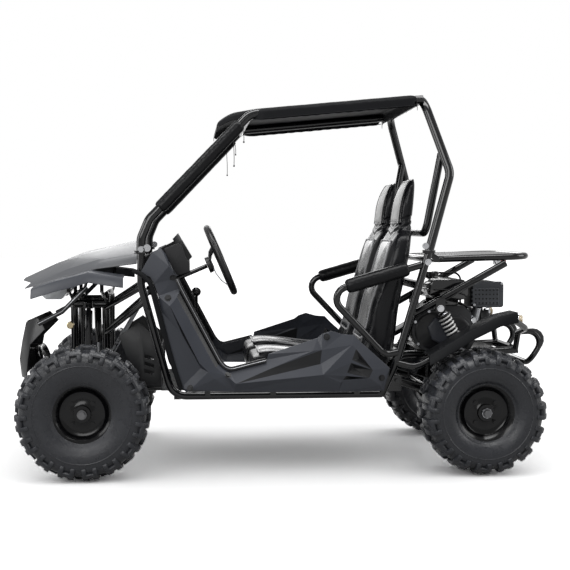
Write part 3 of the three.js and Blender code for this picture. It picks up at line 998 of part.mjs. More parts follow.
function makeShaft() {
  const start = onColumn(GRIP.hub + GRIP.hubThick / 2 + CLEAR);
  const cup = rod(COLUMN_END.clone().addScaledVector(COLUMN_AXIS, CUP.back),
    COLUMN_END.clone().addScaledVector(COLUMN_AXIS, CUP.lip), CUP.outer, PIN_SIDES);
  return cut(join(rod(start, COLUMN_END.clone().addScaledVector(COLUMN_AXIS, CUP.lip), SHAFT, PIN_SIDES),
    cup), ball(JOINT_BALL + 2 * CUP.play));
}
const STEER_ARM = 110;
const TIE = { x: FRONT_AXLE_X - STEER_ARM - 3 * TUBE_BITE, z: PITMAN.z, rod: 14, gap: 4, plate: 8,
  tip: 12, half: 9, block: 10 };
function makeLowerShaft() {
  const shaft = rod(LOWER_END, COLUMN_END, SHAFT, PIN_SIDES);
  const tip = PITMAN.x - PITMAN.arm;
  const arm = sidePlate([[tip, PITMAN.z - TIE.plate / 2], [PITMAN.x + PITMAN.half, PITMAN.z - TIE.plate / 2],
    [PITMAN.x + PITMAN.half, PITMAN.z + TIE.plate / 2], [tip, PITMAN.z + TIE.plate / 2]], -TIE.tip / 2,
      TIE.tip / 2);
  return join(shaft, ball(JOINT_BALL), arm);
}
add('steering_wheel', makeSteeringWheel(), DARK_PLASTIC);
add('steering_shaft', makeShaft(), BLACK_PAINT);
add('lower_shaft', makeLowerShaft(), STEEL);

// Front suspension on one side: arm, knuckle with its spindle, tie rod and damper
const KINGPIN_INSET = 121;
const PLATE_INSET = 103;
const KINGPIN = {
  x: FRONT_AXLE_X, y: FRONT_WHEEL.y - KINGPIN_INSET, low: above(0.25369), high: above(0.3399), sleeve: 30,
    pin: 12, ear: 8,
  plate: FRONT_WHEEL.y - PLATE_INSET, plateWall: 8, half: 18, legZ: above(0.30296), leg: 20, legFoot: 6,
    eye: 16,
};
const HUB_FACE_Y = FRONT_WHEEL.y + FRONT_RIM_WIDTH / 2 - RIM_DISH_DEPTH;
const SPINDLE = HUB_BORE - 2 * CLEAR;
const NUT = { outer: 38, thick: 9 };
function makeFrontArm() {
  const sleeves = [ARM_PIVOT.rear,
    ARM_PIVOT.front].map((x) => disc(vec(x, ARM_PIVOT.y, ARM_PIVOT.z), AXIS.x, ARM_PIVOT.outer,
    ARM_PIVOT.sleeve, PIN_SIDES));
  const kingSleeve = rod(vec(KINGPIN.x, KINGPIN.y, KINGPIN.low), vec(KINGPIN.x, KINGPIN.y, KINGPIN.high),
    KINGPIN.sleeve, PIN_SIDES);
  const legs = [ARM_PIVOT.rear, ARM_PIVOT.front].map((x) =>
    rod(vec(x, ARM_PIVOT.y + 2 * TUBE_BITE, ARM_PIVOT.z),
    vec(KINGPIN.x + Math.sign(x - KINGPIN.x) * KINGPIN.legFoot, KINGPIN.y - 2 * TUBE_BITE, KINGPIN.legZ),
      KINGPIN.leg, HIDDEN_SIDES));
  const plates = [-1, 1].map((way) => {
    const at = STRUT_FOOT.x + way * (SHOCK_EYE_WIDTH / 2 + CLEAR + TAB / 2);
    return box(at - TAB / 2, at + TAB / 2, STRUT_FOOT.y - KINGPIN.eye, STRUT_FOOT.y + 2 * TAB,
      KINGPIN.legZ + TUBE_BITE, STRUT_FOOT.z + 2 * TAB);
  });
  const pin = disc(STRUT_FOOT, AXIS.x, SHOCK_PIN, 6 * TAB, TUBE_SIDES);
  const pivotBore = rod(vec(ARM_PIVOT.rear - 3 * OVERRUN, ARM_PIVOT.y, ARM_PIVOT.z),
    vec(ARM_PIVOT.front + 3 * OVERRUN, ARM_PIVOT.y, ARM_PIVOT.z),
    turningBore(ARM_PIVOT.rod), PIN_SIDES);
  const kingBore = rod(vec(KINGPIN.x, KINGPIN.y, 0), vec(KINGPIN.x, KINGPIN.y, FRONT_TYRE.outer),
    KINGPIN.pin + 2 * PIN_PLAY, PIN_SIDES);
  return cut(join(sleeves, kingSleeve, legs, plates, pin), pivotBore, kingBore);
}
function makeKnuckle() {
  const { x, y, low, high, ear, half, plate, plateWall } = KINGPIN;
  const ears = [[high + CLEAR, high + CLEAR + ear],
    [low - CLEAR - ear, low - CLEAR]].map(([z0, z1]) =>
    box(x - half, x + half, y - half, plate + plateWall, z0, z1));
  const back = box(x - half, x + half, plate, plate + plateWall, low - CLEAR - ear, high + CLEAR + ear);
  const pin = rod(vec(x, y, low - ear), vec(x, y, high + ear), KINGPIN.pin, PIN_SIDES);
  const spindle = rod(vec(x, plate, FRONT_WHEEL.z),
    vec(x, HUB_FACE_Y + RIM_HUB_DEPTH + CLEAR + NUT.thick, FRONT_WHEEL.z), SPINDLE, PIN_SIDES);
  const nut = disc(vec(x, HUB_FACE_Y + RIM_HUB_DEPTH + CLEAR + NUT.thick / 2, FRONT_WHEEL.z), AXIS.y,
    NUT.outer, NUT.thick, PIN_SIDES);
  const collarEnd = HUB_FACE_Y - RIM_HUB_DEPTH - CLEAR;
  const collar = rod(vec(x, plate, FRONT_WHEEL.z), vec(x, collarEnd, FRONT_WHEEL.z), NUT.outer, PIN_SIDES);
  const arm = box(x - STEER_ARM, x - half + CLEAR, y - TIE.plate, y + TIE.plate, TIE.z - TIE.plate / 2,
    TIE.z + TIE.plate / 2);
  const riser = box(x - half - TIE.plate, x - half + CLEAR, y - TIE.plate, y + TIE.plate, high + CLEAR,
    TIE.z + TIE.plate / 2);
  const shoulder = box(x - half - TIE.plate, x - half + CLEAR, y - TIE.plate, y + TIE.plate, high + CLEAR,
    high + CLEAR + ear);
  return join(ears, back, pin, spindle, nut, collar, arm, riser, shoulder);
}
function makeTieRod() {
  const end = (y) => box(TIE.x - TIE.block, PITMAN.x - PITMAN.arm - 2 * CLEAR, y - TIE.half, y + TIE.half,
    TIE.z - TIE.half, TIE.z + TIE.half);
  return join(rod(vec(TIE.x, TIE.gap / 2 + TIE.half, TIE.z), vec(TIE.x, KINGPIN.y, TIE.z), TIE.rod),
    end(TIE.gap / 2 + TIE.half), end(KINGPIN.y));
}
const alongLine = (a, b, distance) => a.clone().addScaledVector(b.clone().sub(a).normalize(), distance);
const DAMPER = { body: 30, eye: 24, rod: 12, bore: 15, share: 0.62, boreShare: 0.2, rodShare: 0.6,
  start: 20 };
function makeDamperBody(top, foot, pinAxis, share, collar) {
  const length = top.distanceTo(foot);
  const barrel = rod(alongLine(top, foot, DAMPER.start), alongLine(top, foot, length * share),
    DAMPER.body, PIN_SIDES);
  const eye = disc(top, pinAxis, DAMPER.eye, SHOCK_EYE_WIDTH, PIN_SIDES);
  const neck = rod(top, alongLine(top, foot, DAMPER.start + TAB), DAMPER.rod + TAB, PIN_SIDES);
  const pieces = [barrel, eye, neck];
  if (collar) pieces.push(rod(alongLine(top, foot, collar.start),
    alongLine(top, foot, collar.start + collar.thick), collar.outer, PIN_SIDES));
  const bore = rod(alongLine(top, foot, length * DAMPER.boreShare),
    alongLine(top, foot, length * share + OVERRUN), DAMPER.bore, PIN_SIDES);
  return cut(join(pieces), bore,
    disc(top, pinAxis, SHOCK_PIN + 2 * PIN_PLAY, SHOCK_EYE_WIDTH * 2, PIN_SIDES));
}
function makeDamperRod(top, foot, pinAxis, share, collar) {
  const length = top.distanceTo(foot);
  const pieces = [rod(alongLine(top, foot, length * share * DAMPER.rodShare), foot, DAMPER.rod,
    PIN_SIDES), disc(foot, pinAxis, DAMPER.eye, SHOCK_EYE_WIDTH, 12)];
  if (collar) pieces.push(rod(alongLine(foot, top, collar.start),
    alongLine(foot, top, collar.start + collar.thick), collar.outer, PIN_SIDES));
  return cut(join(pieces), disc(foot, pinAxis, SHOCK_PIN + 2 * RUNNING_GAP, SHOCK_EYE_WIDTH * 2, PIN_SIDES));
}
addPair('front_arm', makeFrontArm(), BLACK_PAINT);
addPair('knuckle', makeKnuckle(), STEEL);
addPair('tie_rod', makeTieRod(), STEEL);
addPair('front_shock_body', makeDamperBody(STRUT_EYE, STRUT_FOOT, AXIS.x, DAMPER.share), BLACK_PAINT);
addPair('front_shock_rod', makeDamperRod(STRUT_EYE, STRUT_FOOT, AXIS.x, DAMPER.share), STEEL);

// Rear suspension: swing arm, axle, coil over shocks
const AXLE_Z = REAR_WHEEL.z;
const CARRIER = { y: across(0.48864), width: 40, outer: 60, ahead: 18, up: 6 };
const SWING = { tube: 32, bush: 40, knee: along(-0.39931), kneeZ: above(0.3399) };
const AXLE = HUB_BORE - 2 * CLEAR;
const SPROCKET = { y: across(0.27273), radius: 92, teeth: 18, tooth: 8, wall: 6 };
const DISC_BRAKE = { y: across(-0.27273), outer: 176, wall: 5, sides: 18 };
function makeSwingArm() {
  const arm = tube([vec(SWING_PIVOT.x, SWING_PIVOT.y, SWING_PIVOT.z),
    vec(SWING.knee, SWING_PIVOT.y, SWING.kneeZ),
    vec(REAR_AXLE_X + CARRIER.ahead, CARRIER.y, AXLE_Z + CARRIER.up)], SWING.tube, BEND_RADIUS, HIDDEN_SIDES);
  const bush = disc(vec(SWING_PIVOT.x, SWING_PIVOT.y, SWING_PIVOT.z), AXIS.y, SWING.bush, SWING_BUSH,
    PIN_SIDES);
  const carrier = disc(vec(REAR_AXLE_X, CARRIER.y, AXLE_Z), AXIS.y, CARRIER.outer, CARRIER.width, PIN_SIDES);
  const plates = [-1, 1].map((way) => {
    const at = SHOCK_FOOT.y + way * (SHOCK_EYE_WIDTH / 2 + CLEAR + TAB / 2);
    return sidePlate([...outlineAt([[-0.48207, 0.30296], [-0.45172, 0.31034]]),
      [SHOCK_FOOT.x + PEDAL.tab, SHOCK_FOOT.z + 2 * TAB], [SHOCK_FOOT.x - PEDAL.tab, SHOCK_FOOT.z + 2 * TAB]],
      at - TAB / 2, at + TAB / 2);
  });
  const plateFoot = box(along(-0.48207), along(-0.45172), SWING_PIVOT.y - TAB,
    SHOCK_FOOT.y + SHOCK_EYE_WIDTH / 2 + TAB, above(0.30296), above(0.31281));
  const pin = disc(SHOCK_FOOT, AXIS.y, SHOCK_PIN, 6 * TAB, TUBE_SIDES);
  const cross = rod(vec(SWING.knee, -SWING_PIVOT.y, SWING.kneeZ),
    vec(SWING.knee, SWING_PIVOT.y, SWING.kneeZ), FRAME_TUBE, HIDDEN_SIDES);
  const pivotBore = rod(vec(SWING_PIVOT.x, -CAGE_FOOT_Y, SWING_PIVOT.z),
    vec(SWING_PIVOT.x, CAGE_FOOT_Y, SWING_PIVOT.z), turningBore(SWING_PIVOT.rod), PIN_SIDES);
  const axleBore = rod(vec(REAR_AXLE_X, -CAGE_FOOT_Y, AXLE_Z), vec(REAR_AXLE_X, CAGE_FOOT_Y, AXLE_Z),
    turningBore(AXLE), PIN_SIDES);
  return cut(join(...[arm, bush, carrier, ...plates, plateFoot, pin].flatMap(both), cross), pivotBore,
    axleBore);
}
function makeAxle() {
  const faceY = REAR_WHEEL.y + REAR_RIM_WIDTH / 2 - RIM_DISH_DEPTH;
  const end = faceY + RIM_HUB_DEPTH + CLEAR + NUT.thick;
  const shaft = rod(vec(REAR_AXLE_X, -end, AXLE_Z), vec(REAR_AXLE_X, end, AXLE_Z), AXLE, PIN_SIDES);
  const nuts = both(disc(vec(REAR_AXLE_X, end - NUT.thick / 2, AXLE_Z), AXIS.y, NUT.outer, NUT.thick,
    PIN_SIDES));
  const collars = both(rod(vec(REAR_AXLE_X, CARRIER.y + CARRIER.width / 2 + CLEAR, AXLE_Z),
    vec(REAR_AXLE_X, faceY - RIM_HUB_DEPTH - CLEAR, AXLE_Z), NUT.outer, PIN_SIDES));
  const teeth = Array.from({ length: SPROCKET.teeth * 2 }, (_, i) => {
    const radius = SPROCKET.radius - (i % 2) * SPROCKET.tooth;
    const angle = (Math.PI * i) / SPROCKET.teeth;
    return [REAR_AXLE_X + Math.cos(angle) * radius, AXLE_Z + Math.sin(angle) * radius];
  });
  const sprocket = sidePlate(teeth, SPROCKET.y - SPROCKET.wall / 2, SPROCKET.y + SPROCKET.wall / 2);
  const brake = disc(vec(REAR_AXLE_X, DISC_BRAKE.y, AXLE_Z), AXIS.y, DISC_BRAKE.outer, DISC_BRAKE.wall,
    DISC_BRAKE.sides);
  return join(shaft, nuts, collars, sprocket, brake);
}
const COIL = { top: 26, foot: 26, thick: 6, outer: 58, wire: 8, radius: 25, curls: 7, steps: 8, sides: 5 };
const COLLAR = { start: COIL.top, thick: COIL.thick, outer: COIL.outer };
function makeSpring(top, foot) {
  const from = alongLine(top, foot, COIL.top + COIL.thick + COIL.wire / 2 + CLEAR);
  const to = alongLine(foot, top, COIL.foot + COIL.thick + COIL.wire / 2 + CLEAR);
  const count = COIL.curls * COIL.steps;
  const turn = new THREE.Quaternion().setFromUnitVectors(AXIS.z, to.clone().sub(from).normalize());
  const height = to.distanceTo(from);
  const samples = Array.from({ length: count + 1 }, (_, i) => {
    const angle = (2 * Math.PI * i) / COIL.steps;
    return vec(Math.cos(angle) * COIL.radius, Math.sin(angle) * COIL.radius,
      (height * i) / count).applyQuaternion(turn).add(from);
  });
  const gap = height / COIL.curls - COIL.wire;
  console.log(`rear spring: least gap between curls ${gap.toFixed(1)} mm`);
  const route = new BentRoute([from, to], 1);
  route.points = samples;
  return sweep(ringShape(COIL.wire, 0, COIL.sides), route);
}
add('swing_arm', makeSwingArm(), BLACK_PAINT);
add('rear_axle', makeAxle(), STEEL);
addPair('rear_shock_body', makeDamperBody(SHOCK_TOP, SHOCK_FOOT, AXIS.y, DAMPER.share, COLLAR), STEEL);
addPair('rear_shock_rod', makeDamperRod(SHOCK_TOP, SHOCK_FOOT, AXIS.y, DAMPER.share, COLLAR), STEEL);
addPair('rear_spring', makeSpring(SHOCK_TOP, SHOCK_FOOT), WHITE_SPRING);

// Controls
function makePedal(y) {
  const boss = disc(vec(PEDAL.x, y, PEDAL.z), AXIS.y, PEDAL.outer, PEDAL.boss, PIN_SIDES);
  const arm = sidePlate([[PEDAL.x - PEDAL.half, PEDAL.z], [PEDAL.x + PEDAL.half, PEDAL.z],
    [PEDAL.x + PEDAL.lean, PEDAL.z + PEDAL.arm],
    [PEDAL.x + PEDAL.foot, PEDAL.z + PEDAL.arm]],
    y - 7, y + 7);
  const padLow = PEDAL.z + PEDAL.arm - PEDAL.padLow;
  const padHigh = PEDAL.z + PEDAL.arm + PEDAL.padHigh;
  const pad = sidePlate([[PEDAL.x + PEDAL.half, padLow], [PEDAL.x + PEDAL.foot, padLow],
    [PEDAL.x + PEDAL.foot + PEDAL.padWall, padHigh],
    [PEDAL.x + PEDAL.foot, padHigh]], y - PEDAL.pad / 2, y + PEDAL.pad / 2);
  return cut(join(boss, arm, pad),
    rod(vec(PEDAL.x, y - PEDAL.pad, PEDAL.z), vec(PEDAL.x, y + PEDAL.pad, PEDAL.z),
    PEDAL.pin + 2 * PIN_PLAY, PIN_SIDES));
}
add('brake_pedal', makePedal(PEDALS[0]), BLACK_PAINT);
add('throttle_pedal', makePedal(PEDALS[1]), BLACK_PAINT);
function makeLever() {
  const boss = disc(vec(LEVER.x, LEVER.y, PEDAL.z), AXIS.y, PEDAL.outer, PEDAL.boss, PIN_SIDES);
  const stem = rod(vec(LEVER.x, LEVER.y, PEDAL.z), vec(LEVER.x, LEVER.y, LEVER.top), LEVER.stem);
  const knob = new THREE.SphereGeometry(LEVER.knob, 10, 8);
  knob.translate(LEVER.x, LEVER.y, LEVER.top + 2 * TUBE_BITE);
  return cut(join(boss, stem, toSolid(knob)),
    rod(vec(LEVER.x, LEVER.y - 2 * OVERRUN, PEDAL.z), vec(LEVER.x, LEVER.y + 2 * OVERRUN, PEDAL.z),
    PEDAL.pin + 2 * PIN_PLAY, PIN_SIDES));
}
add('shift_lever', makeLever(), BLACK_PAINT);

export default kart;
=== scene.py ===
import math

import bmesh
import bpy
from mathutils import Matrix, Vector
from mathutils.bvhtree import BVHTree


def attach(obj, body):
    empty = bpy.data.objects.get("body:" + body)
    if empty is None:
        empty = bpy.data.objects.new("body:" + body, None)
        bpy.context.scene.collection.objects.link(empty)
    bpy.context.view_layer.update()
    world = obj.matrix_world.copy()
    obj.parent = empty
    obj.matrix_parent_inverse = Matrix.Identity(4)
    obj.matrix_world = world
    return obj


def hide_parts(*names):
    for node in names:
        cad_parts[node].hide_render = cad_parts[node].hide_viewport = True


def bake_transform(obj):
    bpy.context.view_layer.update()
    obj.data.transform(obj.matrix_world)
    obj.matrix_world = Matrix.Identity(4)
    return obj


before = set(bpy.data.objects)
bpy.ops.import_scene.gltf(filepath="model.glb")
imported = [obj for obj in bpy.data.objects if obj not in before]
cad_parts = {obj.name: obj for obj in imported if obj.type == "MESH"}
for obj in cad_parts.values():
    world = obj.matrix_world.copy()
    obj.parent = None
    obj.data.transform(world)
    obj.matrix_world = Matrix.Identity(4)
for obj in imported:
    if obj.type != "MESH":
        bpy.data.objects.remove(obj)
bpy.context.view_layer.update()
SIDES = {"left": 1, "right": -1}


def mm(x, y, z):
    """A place on the kart, written in millimetres as on the drawing."""
    return Vector((x, y, z)) / 1000


# The camera stands to the kart's left at the photograph's height and turn
def photograph_camera():
    data = bpy.data.cameras.new("photograph_camera")
    data.lens = 74.84
    data.sensor_width = 36
    camera = bpy.data.objects.new("photograph_camera", data)
    camera.location = mm(367.1, 4700.8, 899.1)
    turn, dip = 0.08106, 0.0483
    ahead = Vector((-math.sin(turn) * math.cos(dip), -math.cos(turn) * math.cos(dip), -math.sin(dip)))
    camera.rotation_euler = ahead.to_track_quat("-Z", "Y").to_euler()
    bpy.context.scene.collection.objects.link(camera)
    bpy.context.scene.camera = camera


def soft_lamp(name, place, aim, size, power):
    data = bpy.data.lights.new(name, "AREA")
    data.shape = "RECTANGLE"
    data.size, data.size_y = size
    data.energy = power
    lamp = bpy.data.objects.new(name, data)
    lamp.location = place
    lamp.rotation_euler = (Vector(aim) - Vector(place)).to_track_quat("-Z", "Y").to_euler()
    bpy.context.scene.collection.objects.link(lamp)


# Small tools for building node trees
class Tree:
    """A node tree with short calls to add a node and to join sockets."""

    def __init__(self, tree):
        self.tree = tree

    def node(self, kind, settings=None, **inputs):
        """Adds a node. An input goes by its label, or by its number as i0, i1 and so on."""
        made = self.tree.nodes.new(kind)
        for key, value in (settings or {}).items():
            setattr(made, key, value)
        for key, value in inputs.items():
            numbered = key[0] == "i" and key[1:].isdigit()
            socket = made.inputs[int(key[1:]) if numbered else key.replace("_", " ")]
            if isinstance(value, bpy.types.NodeSocket):
                self.join(value, socket)
            else:
                socket.default_value = value
        return made

    def join(self, start, end):
        self.tree.links.new(start, end)

    def sum(self, operation, *terms):
        """The result of one sum on plain numbers."""
        places = {f"i{n}": term for n, term in enumerate(terms)}
        return self.node("ShaderNodeMath", {"operation": operation}, **places).outputs[0]

    def mark(self, name, kind="FLOAT"):
        """A value that each point of the route or of the spots carries."""
        return self.node("GeometryNodeInputNamedAttribute", {"data_type": kind}, Name=name).outputs["Attribute"]

    def copies(self, points, piece, **more):
        """One real copy of a piece on each point."""
        spread = self.node("GeometryNodeInstanceOnPoints", Points=points, Instance=piece, **more)
        return self.node("GeometryNodeRealizeInstances", i0=spread.outputs[0]).outputs[0]


def surface(name, colour, rough, metal=0.0, coat=0.0, cloud=(6.0, 0.12), wear=(14.0, 0.06),
            grain=(), sheen=0.0, clear=0.0, shine=0.5):
    """A finish: a colour that drifts a little, a roughness that drifts too, and layers of fine relief."""
    material = bpy.data.materials.new(name)
    material.use_nodes = True
    tree = Tree(material.node_tree)
    shader = material.node_tree.nodes["Principled BSDF"]
    where = tree.node("ShaderNodeTexCoord").outputs["Object"]
    drift = tree.node("ShaderNodeTexNoise", Vector=where, Scale=cloud[0], Detail=4.0)
    ramp = tree.node("ShaderNodeMix", {"data_type": "RGBA"}, Factor=drift.outputs["Fac"])
    ramp.inputs[6].default_value = [c * (1 - cloud[1]) for c in colour] + [1]
    ramp.inputs[7].default_value = [min(1, c * (1 + cloud[1])) for c in colour] + [1]
    tree.join(ramp.outputs[2], shader.inputs["Base Color"])
    rub = tree.node("ShaderNodeTexNoise", Vector=where, Scale=wear[0], Detail=5.0)
    spread = tree.node("ShaderNodeMapRange", Value=rub.outputs["Fac"], From_Min=0.3, From_Max=0.7,
                       To_Min=max(0.02, rough - wear[1]), To_Max=min(1.0, rough + wear[1]))
    tree.join(spread.outputs["Result"], shader.inputs["Roughness"])
    last = None
    for kind, scale, depth in grain:
        if kind == "cells":
            cells = tree.node("ShaderNodeTexVoronoi", {"feature": "DISTANCE_TO_EDGE"}, Vector=where, Scale=scale)
            height = cells.outputs["Distance"]
        elif kind == "pits":
            height = tree.node("ShaderNodeTexVoronoi", Vector=where, Scale=scale).outputs["Distance"]
        else:
            height = tree.node("ShaderNodeTexNoise", Vector=where, Scale=scale, Detail=3.0).outputs["Fac"]
        bump = tree.node("ShaderNodeBump", Height=height, Distance=depth, Strength=1.0)
        if last:
            tree.join(last, bump.inputs["Normal"])
        last = bump.outputs["Normal"]
    if last:
        tree.join(last, shader.inputs["Normal"])
    for label, value in (("Metallic", metal), ("Specular IOR Level", shine), ("Coat Weight", coat),
                         ("Coat Roughness", 0.08), ("Sheen Weight", sheen), ("Transmission Weight", clear)):
        shader.inputs[label].default_value = value
    material.diffuse_color = (*colour, 1)
    return material


FRAME_BLACK = surface("powder_coat_black", (0.003, 0.0032, 0.004), 0.13, coat=0.5, shine=0.35, cloud=(3, 0.2),
                      wear=(12, 0.05), grain=[("soft", 260, 0.00022)])
PANEL_GREY = surface("moulded_grey_panel", (0.036, 0.0395, 0.0495), 0.36, shine=0.42, cloud=(2.5, 0.16),
                     wear=(9, 0.08), grain=[("soft", 420, 0.00018), ("soft", 9, 0.0006)])
HOOD_SILVER = surface("hood_satin_grey", (0.085, 0.088, 0.095), 0.36, coat=0.12, cloud=(2.5, 0.1), wear=(7, 0.06),
                      grain=[("soft", 420, 0.00014), ("soft", 8, 0.0008)])
FENDER_GREY = surface("fender_dark_grey", (0.0055, 0.006, 0.007), 0.42, shine=0.12, cloud=(3, 0.18),
                      wear=(10, 0.08), grain=[("soft", 420, 0.0002), ("soft", 10, 0.0006)])
MOULDED_BLACK = surface("moulded_black", (0.0075, 0.008, 0.0092), 0.44, cloud=(5, 0.2),
                        grain=[("pits", 520, 0.00022)])
DASH_GREY = surface("dash_matt_grey", (0.02, 0.02, 0.0215), 0.6, shine=0.3, cloud=(4, 0.2),
                    grain=[("pits", 420, 0.0002)])
COVER_BLACK = surface("cover_black", (0.005, 0.0053, 0.0063), 0.34, coat=0.1, shine=0.35, cloud=(4, 0.2),
                      grain=[("soft", 360, 0.0002)])
GRIP_BLACK = surface("grip_black", (0.008, 0.008, 0.009), 0.34, cloud=(8, 0.2),
                     grain=[("cells", 420, 0.0003), ("soft", 60, 0.0006)])
ROOF_FABRIC = surface("roof_coated_fabric", (0.0055, 0.0058, 0.0068), 0.5, shine=0.08, cloud=(2, 0.16), sheen=0.05,
                      grain=[("pits", 620, 0.00016), ("soft", 7, 0.0012)])
RIM_BLACK = surface("rim_gloss_black", (0.0022, 0.0022, 0.0027), 0.2, coat=0.1, grain=[("soft", 120, 0.0001)],
                    shine=0.3)
TYRE_RUBBER = surface("tyre_rubber", (0.019, 0.0205, 0.025), 0.3, shine=0.5, cloud=(7, 0.3), wear=(30, 0.12),
                      sheen=0.03, grain=[("soft", 240, 0.0005), ("pits", 700, 0.00025)])
SEAT_BLACK = surface("seat_black_vinyl", (0.0045, 0.0048, 0.006), 0.28, shine=0.25, cloud=(5, 0.2), wear=(9, 0.07),
                     grain=[("cells", 330, 0.00015)])
SEAT_GREY = surface("seat_grey_vinyl", (0.42, 0.42, 0.415), 0.42, cloud=(4, 0.08))
SEAT_LIGHT = surface("seat_smooth_vinyl", (0.012, 0.0125, 0.015), 0.24, coat=0.3, cloud=(4, 0.08))
SEAT_PIPING = surface("seat_light_piping", (0.3, 0.3, 0.31), 0.35, grain=[("soft", 200, 0.0003)])
SLEEVE_BLACK = surface("sleeve_vinyl", (0.005, 0.0052, 0.006), 0.34, shine=0.2, cloud=(6, 0.2),
                       grain=[("cells", 300, 0.00012)])
ZINC = surface("zinc_plate", (0.5, 0.51, 0.53), 0.28, metal=1.0, cloud=(20, 0.12), grain=[("soft", 300, 0.0001)])
CHROME = surface("bright_chrome", (0.72, 0.73, 0.75), 0.1, metal=1.0, cloud=(8, 0.05), wear=(20, 0.04))
BRASS = surface("yellow_brass", (0.5, 0.42, 0.27), 0.26, metal=1.0, cloud=(25, 0.15), grain=[("soft", 300, 0.0001)])
CAST_ALLOY = surface("cast_alloy", (0.46, 0.47, 0.48), 0.38, metal=0.9, cloud=(14, 0.18),
                     grain=[("soft", 340, 0.0005)])
CAST_DARK = surface("engine_black_castings", (0.02, 0.021, 0.023), 0.4, metal=0.2, cloud=(14, 0.25),
                    grain=[("soft", 340, 0.0006)])
SPRING_WHITE = surface("spring_white", (0.74, 0.74, 0.73), 0.28, coat=0.4, cloud=(12, 0.05),
                       grain=[("soft", 200, 0.0001)])
MUFFLER_GREY = surface("muffler_heat_paint", (0.065, 0.069, 0.077), 0.5, shine=0.35, cloud=(18, 0.25),
                       grain=[("soft", 420, 0.0005)])
# The muffler under the punched guard, near black so that its holes show shade: painted shade.
MUFFLER_PAINTED_SHADE = surface("muffler_painted_shade", (0.006, 0.006, 0.007), 0.6, cloud=(18, 0.25), grain=[("soft", 420, 0.0005)])
TANK_BLACK = surface("tank_gloss_black", (0.003, 0.003, 0.004), 0.1, coat=1.0, cloud=(3, 0.1), wear=(8, 0.03))
HOSE_BLACK = surface("hose_rubber", (0.008, 0.008, 0.008), 0.42, grain=[("soft", 260, 0.0004)])
LENS_CLEAR = surface("clear_lens", (0.9, 0.92, 0.95), 0.1, coat=0.6, cloud=(3, 0.03), clear=0.3)
LENS_RED = surface("red_lens", (0.45, 0.012, 0.01), 0.12, coat=1.0, cloud=(30, 0.2))
LENS_AMBER = surface("amber_lens", (0.5, 0.4, 0.24), 0.14, coat=1.0, cloud=(30, 0.15))
# A steel much darker than the zinc plate, for the hub nuts deep in the wheel's dish.
HUB_STEEL = surface("dark_hub_steel", (0.16, 0.16, 0.165), 0.34, metal=1.0, cloud=(18, 0.2),
                    grain=[("soft", 240, 0.0002)])
STRING_BLACK = surface("tie_string", (0.016, 0.016, 0.018), 0.6, grain=[("soft", 500, 0.0003)])


def put(name, vertices, faces, material, edges=()):
    mesh = bpy.data.meshes.new(name)
    mesh.from_pydata([tuple(v) for v in vertices], list(edges), list(faces))
    mesh.update()
    thing = bpy.data.objects.new(name, mesh)
    bpy.context.scene.collection.objects.link(thing)
    if material:
        mesh.materials.append(material)
    return thing


def settled(thing):
    """Turns live modifiers into a plain mesh."""
    bpy.context.view_layer.update()
    plain = bpy.data.meshes.new_from_object(thing.evaluated_get(bpy.context.evaluated_depsgraph_get()))
    old = thing.data
    thing.modifiers.clear()
    thing.data = plain
    plain.name = thing.name
    bpy.data.meshes.remove(old)
    return thing


def dress(thing, body):
    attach(thing, body)
    return thing


def set_input(modifier, tree, name, value):
    for item in tree.interface.items_tree:
        if item.item_type == "SOCKET" and item.in_out == "INPUT" and item.name == name:
            modifier[item.identifier] = value


def grown(thing, label, tree, **values):
    """Puts a node tree on a piece, and sets the tree's inputs by their names."""
    modifier = thing.modifiers.new(label, "NODES")
    modifier.node_group = tree
    for name, value in values.items():
        set_input(modifier, tree, name.replace("_", " "), value)
    return thing


def shaded(thing, sharp):
    """Smooth faces, with the edges above a limit left sharp."""
    return grown(thing, "shade", EDGES, Sharp_above=sharp)


def broken_edges(thing, width, degrees=None):
    """A small round on each sharp edge, its width in millimetres."""
    edge = thing.modifiers.new("edge", "BEVEL")
    edge.width = width / 1000
    edge.segments = 2
    edge.limit_method = "ANGLE"
    if degrees:
        edge.angle_limit = math.radians(degrees)
    return thing


def rounded(thing):
    """One level of rounding, the same in the render as in the view."""
    rounder = thing.modifiers.new("round", "SUBSURF")
    rounder.levels = rounder.render_levels = 1
    return thing


def new_tree(name, inputs):
    tree = bpy.data.node_groups.new(name, "GeometryNodeTree")
    tree.interface.new_socket("Geometry", in_out="OUTPUT", socket_type="NodeSocketGeometry")
    tree.interface.new_socket("Geometry", in_out="INPUT", socket_type="NodeSocketGeometry")
    for label, kind, value in inputs:
        socket = tree.interface.new_socket(label, in_out="INPUT", socket_type=kind)
        if value is not None:
            socket.default_value = value
    start = tree.nodes.new("NodeGroupInput")
    end = tree.nodes.new("NodeGroupOutput")
    return tree, Tree(tree), start.outputs, end.inputs[0]


def soft_shading(build, geometry, limit):
    """Smooth faces, with an edge left sharp where two faces meet at more than the limit."""
    angle = build.node("GeometryNodeInputMeshEdgeAngle").outputs["Unsigned Angle"]
    flat = build.node("FunctionNodeCompare", {"operation": "GREATER_THAN"}, i0=angle, i1=limit).outputs[0]
    faces = build.node("GeometryNodeSetShadeSmooth", {"domain": "FACE"}, i0=geometry, Shade_Smooth=True)
    edges = build.node("GeometryNodeSetShadeSmooth", {"domain": "EDGE"}, i0=faces.outputs[0],
                       Selection=flat, Shade_Smooth=False)
    return edges.outputs[0]


def finished(build, geometry, inputs, out, sharp=0.6):
    """Ends a tree with soft shading and the finish that its input names."""
    soft = soft_shading(build, geometry, sharp)
    build.join(build.node("GeometryNodeSetMaterial", i0=soft, Material=inputs["Finish"]).outputs[0], out)


